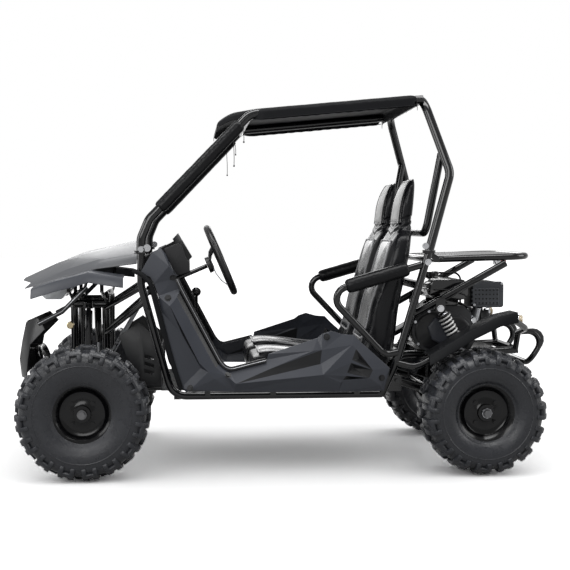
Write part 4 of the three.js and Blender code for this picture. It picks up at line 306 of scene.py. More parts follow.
def pipe_tree():
    """Round tubes along the corners of a route, bent to each corner's own radius."""
    tree, build, inputs, out = new_tree("bent_pipes", [
        ("Sides", "NodeSocketInt", 20), ("Bend steps", "NodeSocketInt", 8), ("Finish", "NodeSocketMaterial", None)])
    route = build.node("GeometryNodeMeshToCurve", i0=inputs["Geometry"])
    bent = build.node("GeometryNodeFilletCurve", {"mode": "POLY"}, Curve=route.outputs[0],
                      Count=inputs["Bend steps"], Radius=build.mark("bend_radius"), Limit_Radius=True)
    ring = build.node("GeometryNodeCurvePrimitiveCircle", Resolution=inputs["Sides"], Radius=1.0)
    skin = build.node("GeometryNodeCurveToMesh", Curve=bent.outputs[0], Profile_Curve=ring.outputs[0],
                      Scale=build.mark("pipe_radius"), Fill_Caps=True)
    finished(build, skin.outputs[0], inputs, out, 0.7)
    return tree


WASHER_THICK = 0.002
CORNER_SHARE = 0.577


def bolt_tree():
    """Hexagon bolt heads on washers, each standing on a marked point along its facing."""
    tree, build, inputs, out = new_tree("hex_bolts", [
        ("Head width", "NodeSocketFloat", 0.014), ("Head height", "NodeSocketFloat", 0.006),
        ("Washer width", "NodeSocketFloat", 0.022), ("Finish", "NodeSocketMaterial", None)])
    head = build.node("GeometryNodeMeshCylinder", Vertices=6, Depth=inputs["Head height"],
                      Radius=build.sum("MULTIPLY", inputs["Head width"], CORNER_SHARE))
    washer = build.node("GeometryNodeMeshCylinder", Vertices=20, Depth=WASHER_THICK,
                        Radius=build.sum("MULTIPLY", inputs["Washer width"], 0.5))
    lift = build.node("ShaderNodeCombineXYZ", Z=build.sum("MULTIPLY", inputs["Head height"], 0.5))
    lifted = build.node("GeometryNodeTransform", i0=head.outputs[0], Translation=lift.outputs[0])
    both = build.node("GeometryNodeJoinGeometry")
    build.join(lifted.outputs[0], both.inputs[0])
    build.join(washer.outputs[0], both.inputs[0])
    turn = build.node("FunctionNodeAlignRotationToVector", {"axis": "Z"}, Vector=build.mark("facing", "FLOAT_VECTOR"))
    heads = build.copies(inputs["Geometry"], both.outputs[0], Rotation=turn.outputs[0], Scale=build.mark("size"))
    finished(build, heads, inputs, out)
    return tree


def round_tree():
    """Copies of one piece, spaced evenly round an axis along Y, each turned by its share and a start angle."""
    tree, build, inputs, out = new_tree("round_the_axle", [
        ("Count", "NodeSocketInt", 16), ("Start angle", "NodeSocketFloat", 0.0),
        ("Centre", "NodeSocketVector", None), ("Finish", "NodeSocketMaterial", None)])
    spots = build.node("GeometryNodePoints", Count=inputs["Count"])
    share = build.sum("DIVIDE", build.node("GeometryNodeInputIndex").outputs[0], inputs["Count"])
    angle = build.sum("MULTIPLY_ADD", share, 2 * math.pi, inputs["Start angle"])
    turn = build.node("FunctionNodeAxisAngleToRotation", Axis=(0, 1, 0), Angle=angle)
    copies = build.copies(spots.outputs[0], inputs["Geometry"], Rotation=turn.outputs[0])
    placed = build.node("GeometryNodeTransform", i0=copies, Translation=inputs["Centre"])
    finished(build, placed.outputs[0], inputs, out)
    return tree


def row_tree():
    """Copies of one piece in a straight row, one step apart: the rack's slats and the cylinder's fins."""
    tree, build, inputs, out = new_tree("pieces_in_a_row", [
        ("Count", "NodeSocketInt", 9), ("Step", "NodeSocketVector", None), ("Finish", "NodeSocketMaterial", None)])
    places = build.node("GeometryNodeMeshLine", Count=inputs["Count"], Offset=inputs["Step"])
    finished(build, build.copies(places.outputs[0], inputs["Geometry"]), inputs, out)
    return tree


def edge_tree():
    """Shades a part's soft edges smooth, and leaves those above its limit sharp."""
    tree, build, inputs, out = new_tree("soft_edges", [("Sharp above", "NodeSocketFloat", 0.6)])
    build.join(soft_shading(build, inputs["Geometry"], inputs["Sharp above"]), out)
    return tree


PIPES = pipe_tree()
BOLTS = bolt_tree()
ROUND = round_tree()
ROW = row_tree()
EDGES = edge_tree()


def pipes(name, runs, material, body, slot, sides=20, grow=0.3, ways=(1,), steps=8):
    """Tubes along routes in millimetres: each run is its corners, its diameter and its bend radius."""
    vertices, edges, thick, bends = [], [], [], []
    for way in ways:
        for corners, diameter, bend in runs:
            start = len(vertices)
            for corner in corners:
                vertices.append(mm(corner[0], corner[1] * way, corner[2]))
                thick.append((diameter / 2 + grow) / 1000)
                bends.append(bend / 1000)
            edges += [(start + i, start + i + 1) for i in range(len(corners) - 1)]
    thing = put(name, vertices, [], None, edges)
    for key, values in (("pipe_radius", thick), ("bend_radius", bends)):
        attribute = thing.data.attributes.new(key, "FLOAT", "POINT")
        attribute.data.foreach_set("value", values)
    grown(thing, "pipes", PIPES, Sides=sides, Bend_steps=steps, Finish=material)
    return dress(settled(thing), body)


def bolts(name, spots, body, material=CHROME, slot="zinc_steel", head=13.0, height=6.0, washer=20.0):
    """Bolt heads at places in millimetres, each with the way that it faces and a size share."""
    thing = put(name, [mm(*place) for place, _, _ in spots], [], None)
    facing = thing.data.attributes.new("facing", "FLOAT_VECTOR", "POINT")
    facing.data.foreach_set("vector", [c for _, way, _ in spots for c in way])
    size = thing.data.attributes.new("size", "FLOAT", "POINT")
    size.data.foreach_set("value", [share for _, _, share in spots])
    grown(thing, "bolts", BOLTS, Head_width=head / 1000, Head_height=height / 1000,
          Washer_width=washer / 1000, Finish=material)
    return dress(settled(thing), body)


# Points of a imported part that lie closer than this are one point
WELD = 0.00004
PART_EDGE_DEGREES = 28


def welded(thing):
    thing.modifiers.new("weld", "WELD").merge_threshold = WELD
    return thing


def soften(node, material, bevel=1.2, sharp=0.6):
    """A CAD part that stays: welded, its edges broken by a small round, and its own finish."""
    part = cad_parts[node]
    part.data.materials.clear()
    part.data.materials.append(material)
    broken_edges(welded(part), bevel, PART_EDGE_DEGREES)
    return shaded(part, sharp)


# Frame tubes: bent black tube laid on the drawing's own routes
FRAME_RUNS = [
    ([(-345, 372, 284), (430, 372, 284), (537, 440, 690), (537, 440, 811)], 28, 70),
    ([(-345, 372, 284), (-390, 440, 420), (-505, 440, 811)], 28, 70),
    ([(-345, 150, 284), (-450, 150, 404), (-910, 150, 420)], 28, 70),
    ([(-386, 440, 408), (-455, 452, 391), (-800, 452, 574), (-900, 330, 520), (-910, 190, 494)], 22, 70),
    ([(682, 168, 610), (800, 168, 610)], 28, 0), ([(532, 436, 690), (682, 164, 596)], 22, 0),
    ([(520, 428, 640), (682, 150, 500)], 22, 0), ([(-910, 150, 420), (-910, 190, 494)], 22, 0),
    ([(-444, 440, 590), (-478, 262, 566)], 28, 0), ([(-478, 262, 566), (-838, 262, 765)], 28, 0),
    ([(-478, 262, 566), (-450, 150, 404)], 28, 0), ([(513, 424, 600), (513, 468, 600)], 16, 0),
]
CROSS_RUNS = [
    ([(240, 112, 284), (905, 112, 284), (948, 112, 430), (948, -112, 430), (905, -112, 284), (240, -112, 284)], 28, 70),
    ([(-900, 190, 494), (-1032.9, 190, 500), (-952, 190, 372),
      (-952, -190, 372), (-1032.9, -190, 500), (-900, -190, 494)], 22, 45),
    ([(800, 112, 284), (800, 172, 640), (800, -172, 640), (800, -112, 284)], 28, 45),
    ([(682, 112, 284), (682, 172, 640), (682, -172, 640), (682, -112, 284)], 28, 45),
]
CAGE_RUNS = [
    ([(537, 440, 812.4), (537, 440, 860), (508, 436, 930), (142, 372, 1312), (-440, 368.3, 1366.9)], 32, 70),
]
HOOP_SIDE = [(-505, 440, 812.4), (-582, 442, 1098), (-494, 368, 1372)]
HOOP_RUNS = [
    (HOOP_SIDE + [(x, -y, z) for x, y, z in reversed(HOOP_SIDE)], 32, 70),
    ([(-556, 400, 1170), (-502, 392, 880), (-502, -392, 880), (-556, -400, 1170)], 28, 45),
]
BAR_RUNS = [([(-478, 444, 764), (-128, 444, 664), (-344, 444, 436), (-392, 444, 446)], 26, 45)]
RACK_CORNERS = [(-540, 0, 779), (-540, 262, 779), (-930, 262, 790.7),
                (-930, -262, 790.7), (-540, -262, 779), (-540, 0, 779)]
SWING_RUNS = [
    ([(-420, 236, 318), (-560, 236, 276), (-688, 215, 234.6)], 32, 70),
    ([(-706, 195, 228.6), (-706, 235, 228.6)], 60, 0), ([(-420, 216, 318), (-420, 256, 318)], 40, 0),
]
ARM_RUNS = [
    ([(652, 166, 284), (738, 322, 246)], 20, 0), ([(830, 166, 284), (750, 322, 246)], 20, 0),
    ([(744, 330, 206.2), (744, 330, 275.8)], 30, 0),
]


def tubes(name, runs, body="frame", **more):
    """Tubes in the frame's own black paint."""
    pipes(name, runs, FRAME_BLACK, body, "frame_paint", **more)


def frame_tubes():
    both = (1, -1)
    tubes("frame_side_tubes", FRAME_RUNS, ways=both)
    tubes("frame_cross_tubes", CROSS_RUNS)
    tubes("cage_tubes", CAGE_RUNS, sides=28, ways=both)
    tubes("hoop_tubes", HOOP_RUNS, sides=28)
    tubes("side_bar_tubes", BAR_RUNS, ways=both)
    tubes("cage_cross_tube", [([(150, -368, 1300), (150, 368, 1300)], 28, 0)])
    tubes("rack_loop", [(RACK_CORNERS, 25, 70)])
    tubes("swing_tubes", SWING_RUNS, "swing_arm", ways=both, sides=28)
    tubes("swing_cross_tube", [([(-560, -236, 276), (-560, 236, 276)], 28, 0)], "swing_arm")
    for side, way in SIDES.items():
        tubes(f"arm_tubes_{side}", ARM_RUNS, f"front_arm_{side}", ways=(way,))
    for node in ("main_frame", "cage_front", "rear_hoop", "side_bar_left", "side_bar_right", "rear_rack", "swing_arm",
                 "front_arm_left", "front_arm_right"):
        soften(node, FRAME_BLACK, bevel=0.8, sharp=0.9)


def ring_faces(rings, size, closed=True):
    """Faces between rings of equal size. A closed set joins its last ring to its first."""
    faces = []
    for ring in range(rings if closed else rings - 1):
        here, there = ring * size, (ring + 1) % rings * size
        for i in range(size):
            j = (i + 1) % size
            faces.append((here + i, here + j, there + j, there + i))
    return faces


def closed_loft(rings):
    """Points and faces for rings of equal length, with both ends filled."""
    size = len(rings[0])
    faces = ring_faces(len(rings), size, closed=False)
    faces.append(tuple(reversed(range(size))))
    faces.append(tuple((len(rings) - 1) * size + i for i in range(size)))
    return [p for ring in rings for p in ring], faces


def outward(thing):
    """Turns every face of a closed mesh outwards."""
    grid = bmesh.new()
    grid.from_mesh(thing.data)
    bmesh.ops.remove_doubles(grid, verts=grid.verts, dist=1e-6)
    bmesh.ops.recalc_face_normals(grid, faces=grid.faces)
    grid.to_mesh(thing.data)
    grid.free()
    return thing


# Rack slats: flat bars along the rack, laid side by side
SLATS = {"count": 9, "step": 52, "first": -208, "rise": 6}
SLAT_SECTION = [(-9, 1), (-7, 4), (7, 4), (9, 1), (7, -2), (-7, -2)]
SLAT_LINE = [(-548, 778), (-735, 788), (-922, 790)]


def rack_slats():
    points, faces = closed_loft([[mm(x, y, z + dz) for y, dz in SLAT_SECTION] for x, z in SLAT_LINE])
    slat = outward(put("rack_slats", [p + mm(0, SLATS["first"], SLATS["rise"]) for p in points], faces, None))
    grown(slat, "slats", ROW, Count=SLATS["count"], Step=mm(0, SLATS["step"], 0), Finish=FRAME_BLACK)
    dress(settled(slat), "frame")


# Wheels: a pressed steel rim with a deep dish, and a tyre with U shaped shoulder lugs
WHEELS = {
    "front": {"x": 744, "y": 451, "z": 241.3, "outer": 241.3, "half": 89, "rim_half": 70, "count": 16, "lug": 15},
    "rear": {"x": -706, "y": 424.5, "z": 228.6, "outer": 228.6, "half": 120.5, "rim_half": 95, "count": 15, "lug": 15},
}
BEAD = 103
STUDS = {"count": 4, "circle": 52}
HUB_NUT = {"head": 24, "height": 14, "washer": 34}
# A lug block: how far its root goes into the carcass, its ends' share of its height, and its steps
LUG = {"root": 3.0, "taper": 0.82, "steps": 5, "edge": 1.8, "start_angle": 0.13}
# Each shoulder lug: shares of the half profile, shares of the pitch, its height share, and what it loses on its way
SHOULDER_LUGS = [
    ((0.05, 0.3), (-0.33, -0.08), 1, 0), ((0.05, 0.3), (0.08, 0.33), 1, 0), ((0.27, 0.46), (-0.36, -0.13), 1, 0.62),
    ((0.27, 0.46), (0.13, 0.36), 1, 0.62), ((0.22, 0.34), (-0.33, 0.33), 0.92, 0),
]


def turned(name, profile, centre, material, steps=72, sharp=0.6):
    """A closed profile of radius and distance along Y, turned round the axle."""
    points = [Vector((math.sin(a) * r, y, math.cos(a) * r)) / 1000 + centre
              for a in (2 * math.pi * i / steps for i in range(steps)) for r, y in profile]
    thing = outward(put(name, points, ring_faces(steps, len(profile)), material))
    return settled(shaded(thing, sharp))


def round_cord(name, points, diameter, material):
    """A cord laid along points in millimetres, with its own length."""
    data = bpy.data.curves.new(name, "CURVE")
    data.dimensions = "3D"
    data.bevel_depth = diameter / 2000
    data.bevel_resolution = 4
    data.use_fill_caps = True
    line = data.splines.new("POLY")
    line.points.add(len(points) - 1)
    for knot, place in zip(line.points, points):
        knot.co = (*mm(*place), 1)
    data.materials.append(material)
    thing = bpy.data.objects.new(name, data)
    bpy.context.scene.collection.objects.link(thing)
    long = sum((Vector(b) - Vector(a)).length for a, b in zip(points, points[1:])) / 1000
    return thing, long


# Tie strings hang from the pillar sleeves, and a breather hose runs from the tank's cap into the engine's cover
STRINGS = [(204, 382, 1215, 92), (168, 376, 1252, 42)]
HOSE = {"start": (-646, -60, 716), "turn": -708, "bend": 30, "end": 590, "thick": 8}


def cords():
    for side, way in SIDES.items():
        for n, (x, y, z, long) in enumerate(STRINGS):
            steps = 20
            route = [(x - 2.5 * math.sin(2.2 * i / steps), y * way, z - long * i / steps) for i in range(steps + 1)]
            string, length = round_cord(f"tie_string_{side}_{n}", route, 2.4, STRING_BLACK)
            knot = turned(f"tie_knot_{side}_{n}", ball_profile(3.4), mm(*route[-1]), STRING_BLACK, 16, 1.2)
            dress(string, "frame")
            dress(knot, "frame")
    x, y, z = HOSE["start"]
    bend = HOSE["bend"]
    route = [(x + (HOSE["turn"] - x) * i / 5, y, z) for i in range(5)]
    route += [(HOSE["turn"] - bend * math.sin(a), y, z - bend + bend * math.cos(a))
              for a in (math.pi / 2 * i / 12 for i in range(13))]
    foot = z - bend
    route += [(HOSE["turn"] - bend, y, foot + (HOSE["end"] - foot) * i / 6) for i in range(1, 7)]
    hose, length = round_cord("tank_breather_hose", route, HOSE["thick"], HOSE_BLACK)
    dress(hose, "frame")


def ball_profile(radius, steps=10):
    """A closed half round, from pole to pole, to be turned into a ball."""
    return [(max(0.05, radius * math.sin(a)), radius * math.cos(a))
            for a in (math.pi * i / steps for i in range(steps + 1))]


def curve_point(before, a, b, after, t):
    """A place between a and b on the smooth curve through four rows of numbers."""
    return [0.5 * (2 * a[k] + (b[k] - before[k]) * t + (2 * before[k] - 5 * a[k] + 4 * b[k] - after[k]) * t * t
                   + (3 * a[k] - before[k] - 3 * b[k] + after[k]) * t ** 3) for k in range(len(a))]


def smooth_profile(corners, steps=5):
    """Rounds an open profile by passing a curve through its corners."""
    out = []
    for i in range(len(corners) - 1):
        ends = corners[max(i - 1, 0)], corners[i], corners[i + 1], corners[min(i + 2, len(corners) - 1)]
        out += [tuple(curve_point(*ends, step / steps)) for step in range(steps)]
    out.append(corners[-1])
    return out


def carcass_side(wheel):
    """Half of the tyre's outer profile from the tread's middle to the bead: radius and distance from the middle."""
    crown = wheel["outer"] - wheel["lug"]
    half = wheel["half"] - 4
    tall = crown - BEAD
    return smooth_profile([
        (crown, 0), (crown - 2, half * 0.5), (crown - 8, half * 0.78), (crown - 24, half * 0.95),
        (crown - tall * 0.36, half), (crown - tall * 0.62, half * 0.985), (BEAD + tall * 0.16, half * 0.9),
        (BEAD + 6, wheel["rim_half"] - 1), (BEAD, wheel["rim_half"] - 5)])


def profile_at(profile, share):
    place = max(0.0, min(1.0, share)) * (len(profile) - 1)
    i = min(int(place), len(profile) - 2)
    t = place - i
    point = Vector(profile[i]).lerp(Vector(profile[i + 1]), t)
    along = Vector(profile[i + 1]) - Vector(profile[i])
    normal = Vector((along.y, -along.x)).normalized()
    if normal.x < 0 and share < 0.5:
        normal = -normal
    if normal.y < 0 and share >= 0.3:
        normal = -normal
    return point, normal


def lug_block(profile, shares, angles, height, loss, way):
    """A rubber block that follows the tyre's curve between two shares of the profile and two angles."""
    rings = []
    steps, taper = LUG["steps"], LUG["taper"]
    for s in range(steps + 1):
        point, normal = profile_at(profile, shares[0] + (shares[1] - shares[0]) * s / steps)
        rise = height * (1 - loss * (s / steps)) * (1.0 if 0 < s < steps else taper)
        low, high = [], []
        for a in angles:
            for lift, target in ((-LUG["root"], low), (rise, high)):
                r, y = point.x + normal.x * lift, point.y + normal.y * lift
                target.append(Vector((math.sin(a) * r, y * way, math.cos(a) * r)) / 1000)
        middle = (high[0] + high[-1]) / 2
        high = [middle + (p - middle) * taper for p in high]
        rings.append(low + list(reversed(high)))
    return closed_loft(rings)


def merged(name, blocks):
    points, faces = [], []
    for block_points, block_faces in blocks:
        start = len(points)
        points += block_points
        faces += [tuple(i + start for i in face) for face in block_faces]
    return outward(put(name, points, faces, None))


def wheel_body(end, side):
    return f"front_wheel_{side}" if end == "front" else "rear_axle"


def lug_blocks(wheel, half):
    """The rubber blocks of one pitch of the tread, on both shoulders and in the middle."""
    pitch, tall = 2 * math.pi / wheel["count"], wheel["lug"]
    blocks = []
    for way_out in (1, -1):
        skew = pitch / 2 if way_out < 0 else 0.0
        for shares, turns, height, loss in SHOULDER_LUGS:
            angles = [pitch * turn + skew for turn in turns]
            blocks.append(lug_block(half, shares, angles, tall * height, loss, way_out))
    crown = wheel["outer"] - tall
    blocks.append(lug_block([(crown, -14), (crown, 14)], (0, 1), (pitch * 0.3, pitch * 0.66), tall, 0, 1))
    return blocks


def tyre(end, side, way):
    wheel = WHEELS[end]
    centre = mm(wheel["x"], wheel["y"] * way, wheel["z"])
    half = carcass_side(wheel)
    inner = [(BEAD + 2, wheel["rim_half"] - 12), (wheel["outer"] - wheel["lug"] - 12, wheel["half"] * 0.6)]
    outer = [(r, -y) for r, y in reversed(half)] + half[1:]
    loop = outer + [inner[0], inner[1], (inner[1][0], -inner[1][1]), (inner[0][0], -inner[0][1])]
    body = wheel_body(end, side)
    carcass = dress(turned(f"{end}_tyre_{side}_carcass", loop, centre, TYRE_RUBBER, 96, 0.9), body)
    lugs = broken_edges(merged(f"{end}_tyre_{side}_lugs", lug_blocks(wheel, half)), LUG["edge"])
    grown(lugs, "round", ROUND, Count=wheel["count"], Start_angle=LUG["start_angle"], Centre=centre, Finish=TYRE_RUBBER)
    dress(settled(lugs), body)
    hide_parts(f"{end}_tyre_{side}")
    ring_r = wheel["outer"] * 0.72
    ring = [(ring_r + dr, wheel["half"] * share)
            for dr, share in ((-2, 0.9), (-2, 0.975), (0, 0.985), (2, 0.975), (2, 0.9))]
    for way_out, label in ((1, "out"), (-1, "in")):
        profile = [(r, y * way_out) for r, y in ring]
        line = turned(f"{end}_tyre_{side}_line_{label}", profile, centre, TYRE_RUBBER, 96)
        dress(line, body)


def rim(end, side, way):
    wheel = WHEELS[end]
    centre = mm(wheel["x"], wheel["y"] * way, wheel["z"])
    out = wheel["rim_half"]
    profile = [
        (13.2, out - 58), (30, out - 58), (31, out - 39), (60, out - 37), (74, out - 34.5), (80, out - 40),
        (82, -out + 26), (88, -out + 16), (104, -out + 6), (113, -out + 1), (116.5, -out), (117, -out + 3),
        (105, -out + 9), (101.6, -out + 16), (92, -out + 24), (85.5, -out + 32), (85.5, out - 32),
        (92, out - 24), (101.6, out - 16), (105, out - 9), (117, out - 3), (116.5, out), (113, out - 1),
        (104, out - 6), (90, out - 15), (83, out - 26), (76, out - 31), (60, out - 31.5), (38, out - 31),
        (31, out - 26), (30, out - 11), (13.2, out - 11),
    ]
    body = wheel_body(end, side)
    made = turned(f"{end}_rim_{side}_dish", [(r, y * way) for r, y in profile], centre, RIM_BLACK, 72, 0.8)
    dress(made, body)
    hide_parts(f"{end}_rim_{side}")
    spots = []
    for i in range(STUDS["count"]):
        a = math.pi / 4 + i * 2 * math.pi / STUDS["count"]
        place = (wheel["x"] + math.sin(a) * STUDS["circle"], (wheel["y"] + out - 31) * way,
                 wheel["z"] + math.cos(a) * STUDS["circle"])
        spots.append((place, (0, way, 0), 1.0))
    bolts(f"{end}_rim_{side}_studs", spots, body, RIM_BLACK, "rim_paint", head=13, height=6, washer=20)


def hub_nuts():
    for side, way in SIDES.items():
        bolts(f"front_hub_nut_{side}", [((744, 520.8 * way, 241.3), (0, way, 0), 1.0)], f"knuckle_{side}",
              HUB_STEEL, **HUB_NUT)
    bolts("rear_hub_nuts", [((-706, 519.2 * way, 228.6), (0, way, 0), 1.0) for way in (1, -1)], "rear_axle",
          HUB_STEEL, **HUB_NUT)


def wheels():
    for end in WHEELS:
        for side, way in SIDES.items():
            tyre(end, side, way)
            rim(end, side, way)
    hub_nuts()


def face_finder_of(thing):
    """Looks up where a line meets one piece's outer face."""
    mesh = thing.data
    return BVHTree.FromPolygons([v.co for v in mesh.vertices], [p.vertices for p in mesh.polygons])


def outer_face(tree, x, z, way, reach=0.7):
    """The outermost point on a side part at a place in millimetres, and the way its face looks."""
    hit, normal, _, _ = tree.ray_cast(Vector((x / 1000, reach * way, z / 1000)), Vector((0, -way, 0)))
    return hit, normal


# Seats: a bucket shell of black vinyl in one piece, with smooth inserts and a grey one on the headrest.
# Each station has the front's x and z, the back's x and z, the half width, and the depth of the hollow
SEAT_STATIONS = [
    (146, 392, 140, 344, 150, 2), (138, 436, 128, 316, 166, 6), (100, 450, 96, 306, 172, 14),
    (-20, 446, -20, 306, 176, 26), (-150, 434, -160, 306, 176, 34), (-236, 446, -300, 306, 168, 36),
    (-276, 520, -392, 400, 164, 36), (-296, 610, -424, 600, 172, 36), (-330, 710, -444, 706, 180, 34),
    (-358, 800, -462, 800, 178, 30), (-384, 862, -472, 868, 158, 22), (-402, 894, -476, 896, 118, 12),
    (-412, 930, -478, 930, 112, 10), (-424, 1000, -484, 1000, 116, 12), (-444, 1062, -488, 1064, 104, 8),
    (-462, 1088, -486, 1088, 74, 2),
]
SEAT_Y = 200
SEAT_FLOOR = 0.3066
SEAT_START = 4.0
SEAT_SWELL = 0.009
SEAT_STILL = 0.0015
SEAT_SQUARE = 3.4
SEAT_VOXEL = 0.0075
# Frames of the filling, and how far a face looks back or down before it counts as held
FILL_FRAMES = 20
BACK_FACING = -0.55


def between(rows, place):
    """A smooth curve through rows of numbers."""
    last = len(rows) - 1
    place = max(0.0, min(float(last), place))
    i = min(int(place), last - 1)
    return curve_point(rows[max(i - 1, 0)], rows[i], rows[i + 1], rows[min(i + 2, last)], place - i)


def seat_frame(place):
    front_x, front_z, back_x, back_z, half, dish = between(SEAT_STATIONS, place)
    front, back = Vector((front_x, 0, front_z)), Vector((back_x, 0, back_z))
    out = (front - back).normalized()
    return (front + back) / 2, out, (front - back).length / 2, half, dish


def seat_place(place, across_share, out_share, inset=0.0):
    """A point of the seat in millimetres from its middle plane: shares run from -1 to 1 across, and from back to front."""
    middle, out, depth, half, dish = seat_frame(place)
    depth, half = depth - inset, half - inset
    hollow = dish * max(0.0, out_share) * (1 - abs(across_share) ** 1.8)
    return middle + out * (depth * out_share - hollow) + Vector((0, half * across_share, 0))


def seat_shell():
    rings = []
    steps = 6
    count = 60
    total = (len(SEAT_STATIONS) - 1) * steps
    for r in range(total + 1):
        ring = []
        for k in range(count):
            a = 2 * math.pi * k / count
            c, s = math.cos(a), math.sin(a)
            u = math.copysign(abs(c) ** (2 / SEAT_SQUARE), c)
            v = math.copysign(abs(s) ** (2 / SEAT_SQUARE), s)
            ring.append((seat_place(r / steps, u, v, SEAT_START) + Vector((0, SEAT_Y, 0))) / 1000)
        rings.append(ring)
    points, faces = closed_loft(rings)
    return outward(put("seat_left_shell", points, faces, SEAT_BLACK))


def swollen(thing, voxel, cap, still, floor):
    """Fills a padded piece: even faces, air pressed in from inside, and no point moves further than its cap."""
    bpy.context.view_layer.objects.active = thing
    even = thing.modifiers.new("even", "REMESH")
    even.mode = "VOXEL"
    even.voxel_size = voxel
    settled(thing)
    start = [v.co.copy() for v in thing.data.vertices]
    facing = [v.normal.copy() for v in thing.data.vertices]
    cloth = thing.modifiers.new("fill", "CLOTH")
    cloth.settings.quality = 4
    cloth.settings.use_pressure = True
    cloth.settings.uniform_pressure_force = 4.0
    cloth.settings.tension_stiffness = 12
    cloth.settings.effector_weights.gravity = 0.0
    cloth.collision_settings.use_collision = False
    cloth.point_cache.frame_start = 1
    cloth.point_cache.frame_end = FILL_FRAMES
    scene = bpy.context.scene
    for number in range(1, FILL_FRAMES + 1):
        scene.frame_set(number)
    settled(thing)
    scene.frame_set(1)
    for vertex, old, way in zip(thing.data.vertices, start, facing):
        move = vertex.co - old
        limit = still if (way.x < BACK_FACING or way.z < BACK_FACING) else cap
        if move.length > limit:
            move = move.normalized() * limit
        vertex.co = old + move
        if vertex.co.z < floor:
            vertex.co.z = floor
    return thing


# Folds at the seat's neck, in metres: the band that they lie in, their width and depth, and each one's rise and lean
NECK = {"low": 0.86, "high": 0.945, "line": 0.898, "back": 0.44, "wide": 0.0045, "deep": 0.0034}
PLEATS = [(-0.016, 0.0), (0.0, 0.004), (0.016, -0.002)]


def neck_pleats(thing):
    """Sewn folds that run up and outwards from the neck of the seat."""
    for vertex in thing.data.vertices:
        z = vertex.co.z
        if not NECK["low"] < z < NECK["high"]:
            continue
        side = vertex.co.y - SEAT_Y / 1000
        deep = 0.0
        for low, lean in PLEATS:
            line = NECK["line"] + low + abs(side) * 0.22 + lean - (vertex.co.x + NECK["back"]) * 0.35
            deep += math.exp(-(((z - line) / NECK["wide"]) ** 2))
        vertex.co -= vertex.normal * NECK["deep"] * min(deep, 1.0)


INSERT = {"steps": 26, "across": 18, "reach": 30, "blurs": 8, "proud": -0.2, "thick": 0.008}


def blurred(depths):
    """Each depth becomes the average of itself and its neighbours, so that the shell's grid doesn't print through."""
    rows, columns = len(depths), len(depths[0])
    near = (-1, 0, 1)
    return [[sum(depths[min(max(r + i, 0), rows - 1)][min(max(c + j, 0), columns - 1)] for i in near for j in near) / 9
             for c in range(columns)] for r in range(rows)]


def seat_insert(name, tree, low, high, half, material, crown, taper):
    """A panel sewn into the front of the seat, from one station to another, standing proud in its middle."""
    steps, across = INSERT["steps"], INSERT["across"]
    aims, ways, depths = [], [], []
    for r in range(steps + 1):
        v = r / steps
        place = low + (high - low) * v
        out = seat_frame(place)[1]
        ways.append(out)
        aims.append([])
        depths.append([])
        for c in range(across + 1):
            share = half * (1 - taper * v) * (2 * c / across - 1)
            aim = (seat_place(place, share, 1.0) + Vector((0, SEAT_Y, 0)) + out * INSERT["reach"]) / 1000
            hit, _, _, far = tree.ray_cast(aim, -out)
            aims[-1].append(aim)
            depths[-1].append(far if hit is not None else INSERT["reach"] / 1000)
    for _ in range(INSERT["blurs"]):
        depths = blurred(depths)
    front, back = [], []
    for r, out in enumerate(ways):
        for c in range(across + 1):
            hit = aims[r][c] - out * depths[r][c]
            v = r / steps
            edge = min(1 - abs(2 * c / across - 1), 2 * min(v, 1 - v) * steps / across)
            swell = crown * (1 - (1 - min(1.0, edge * 2.6)) ** 2.4)
            front.append(hit + out * (swell + INSERT["proud"]) / 1000)
            back.append(hit - out * INSERT["thick"])
    width = across + 1
    points = front + back
    half_way = len(front)
    faces = []
    for r in range(steps):
        for c in range(across):
            a, b, d, e = r * width + c, r * width + c + 1, (r + 1) * width + c + 1, (r + 1) * width + c
            faces += [(a, b, d, e), tuple(i + half_way for i in (e, d, b, a))]
    loop = list(range(width)) + [r * width + width - 1 for r in range(1, steps + 1)]
    loop += [steps * width + c for c in range(width - 2, -1, -1)] + [r * width for r in range(steps - 1, 0, -1)]
    faces += [(i, j, j + half_way, i + half_way) for i, j in zip(loop, loop[1:] + loop[:1])]
    panel = rounded(outward(put(name, points, faces, material)))
    smooth(panel)
    dress(settled(panel), "frame")
    return panel, [points[i] * 1000 for i in loop]


def smooth(thing):
    thing.data.polygons.foreach_set("use_smooth", [True] * len(thing.data.polygons))
    return thing


def piping(name, line, diameter, material, body, slot, closed=True):
    """Round cord sewn into a seam, along points in millimetres."""
    corners = [tuple(p) for p in line] + ([tuple(line[0])] if closed else [])
    return pipes(name, [(corners, diameter, 0)], material, body, slot, sides=8, grow=0.0, steps=1)


def copied(thing, name, move):
    """The same piece again, moved in its mesh."""
    twin = thing.copy()
    twin.data = thing.data.copy()
    twin.name = twin.data.name = name
    for key in list(twin.keys()):
        del twin[key]
    twin.data.transform(Matrix.Translation(move))
    bpy.context.scene.collection.objects.link(twin)
    return twin


# Each insert: first and last station, half width share, finish, rise of its middle, taper, and its piping
SEAT_INSERTS = {
    "back": (5.75, 9.75, 0.66, SEAT_LIGHT, 6.0, 0.06, SEAT_PIPING),
    "head": (11.7, 14.35, 0.8, SEAT_GREY, 5.0, 0.1, SEAT_BLACK),
    "base": (1.9, 4.7, 0.62, SEAT_LIGHT, 5.0, 0.0, SEAT_PIPING),
}
PIPING_THICK = 6.5


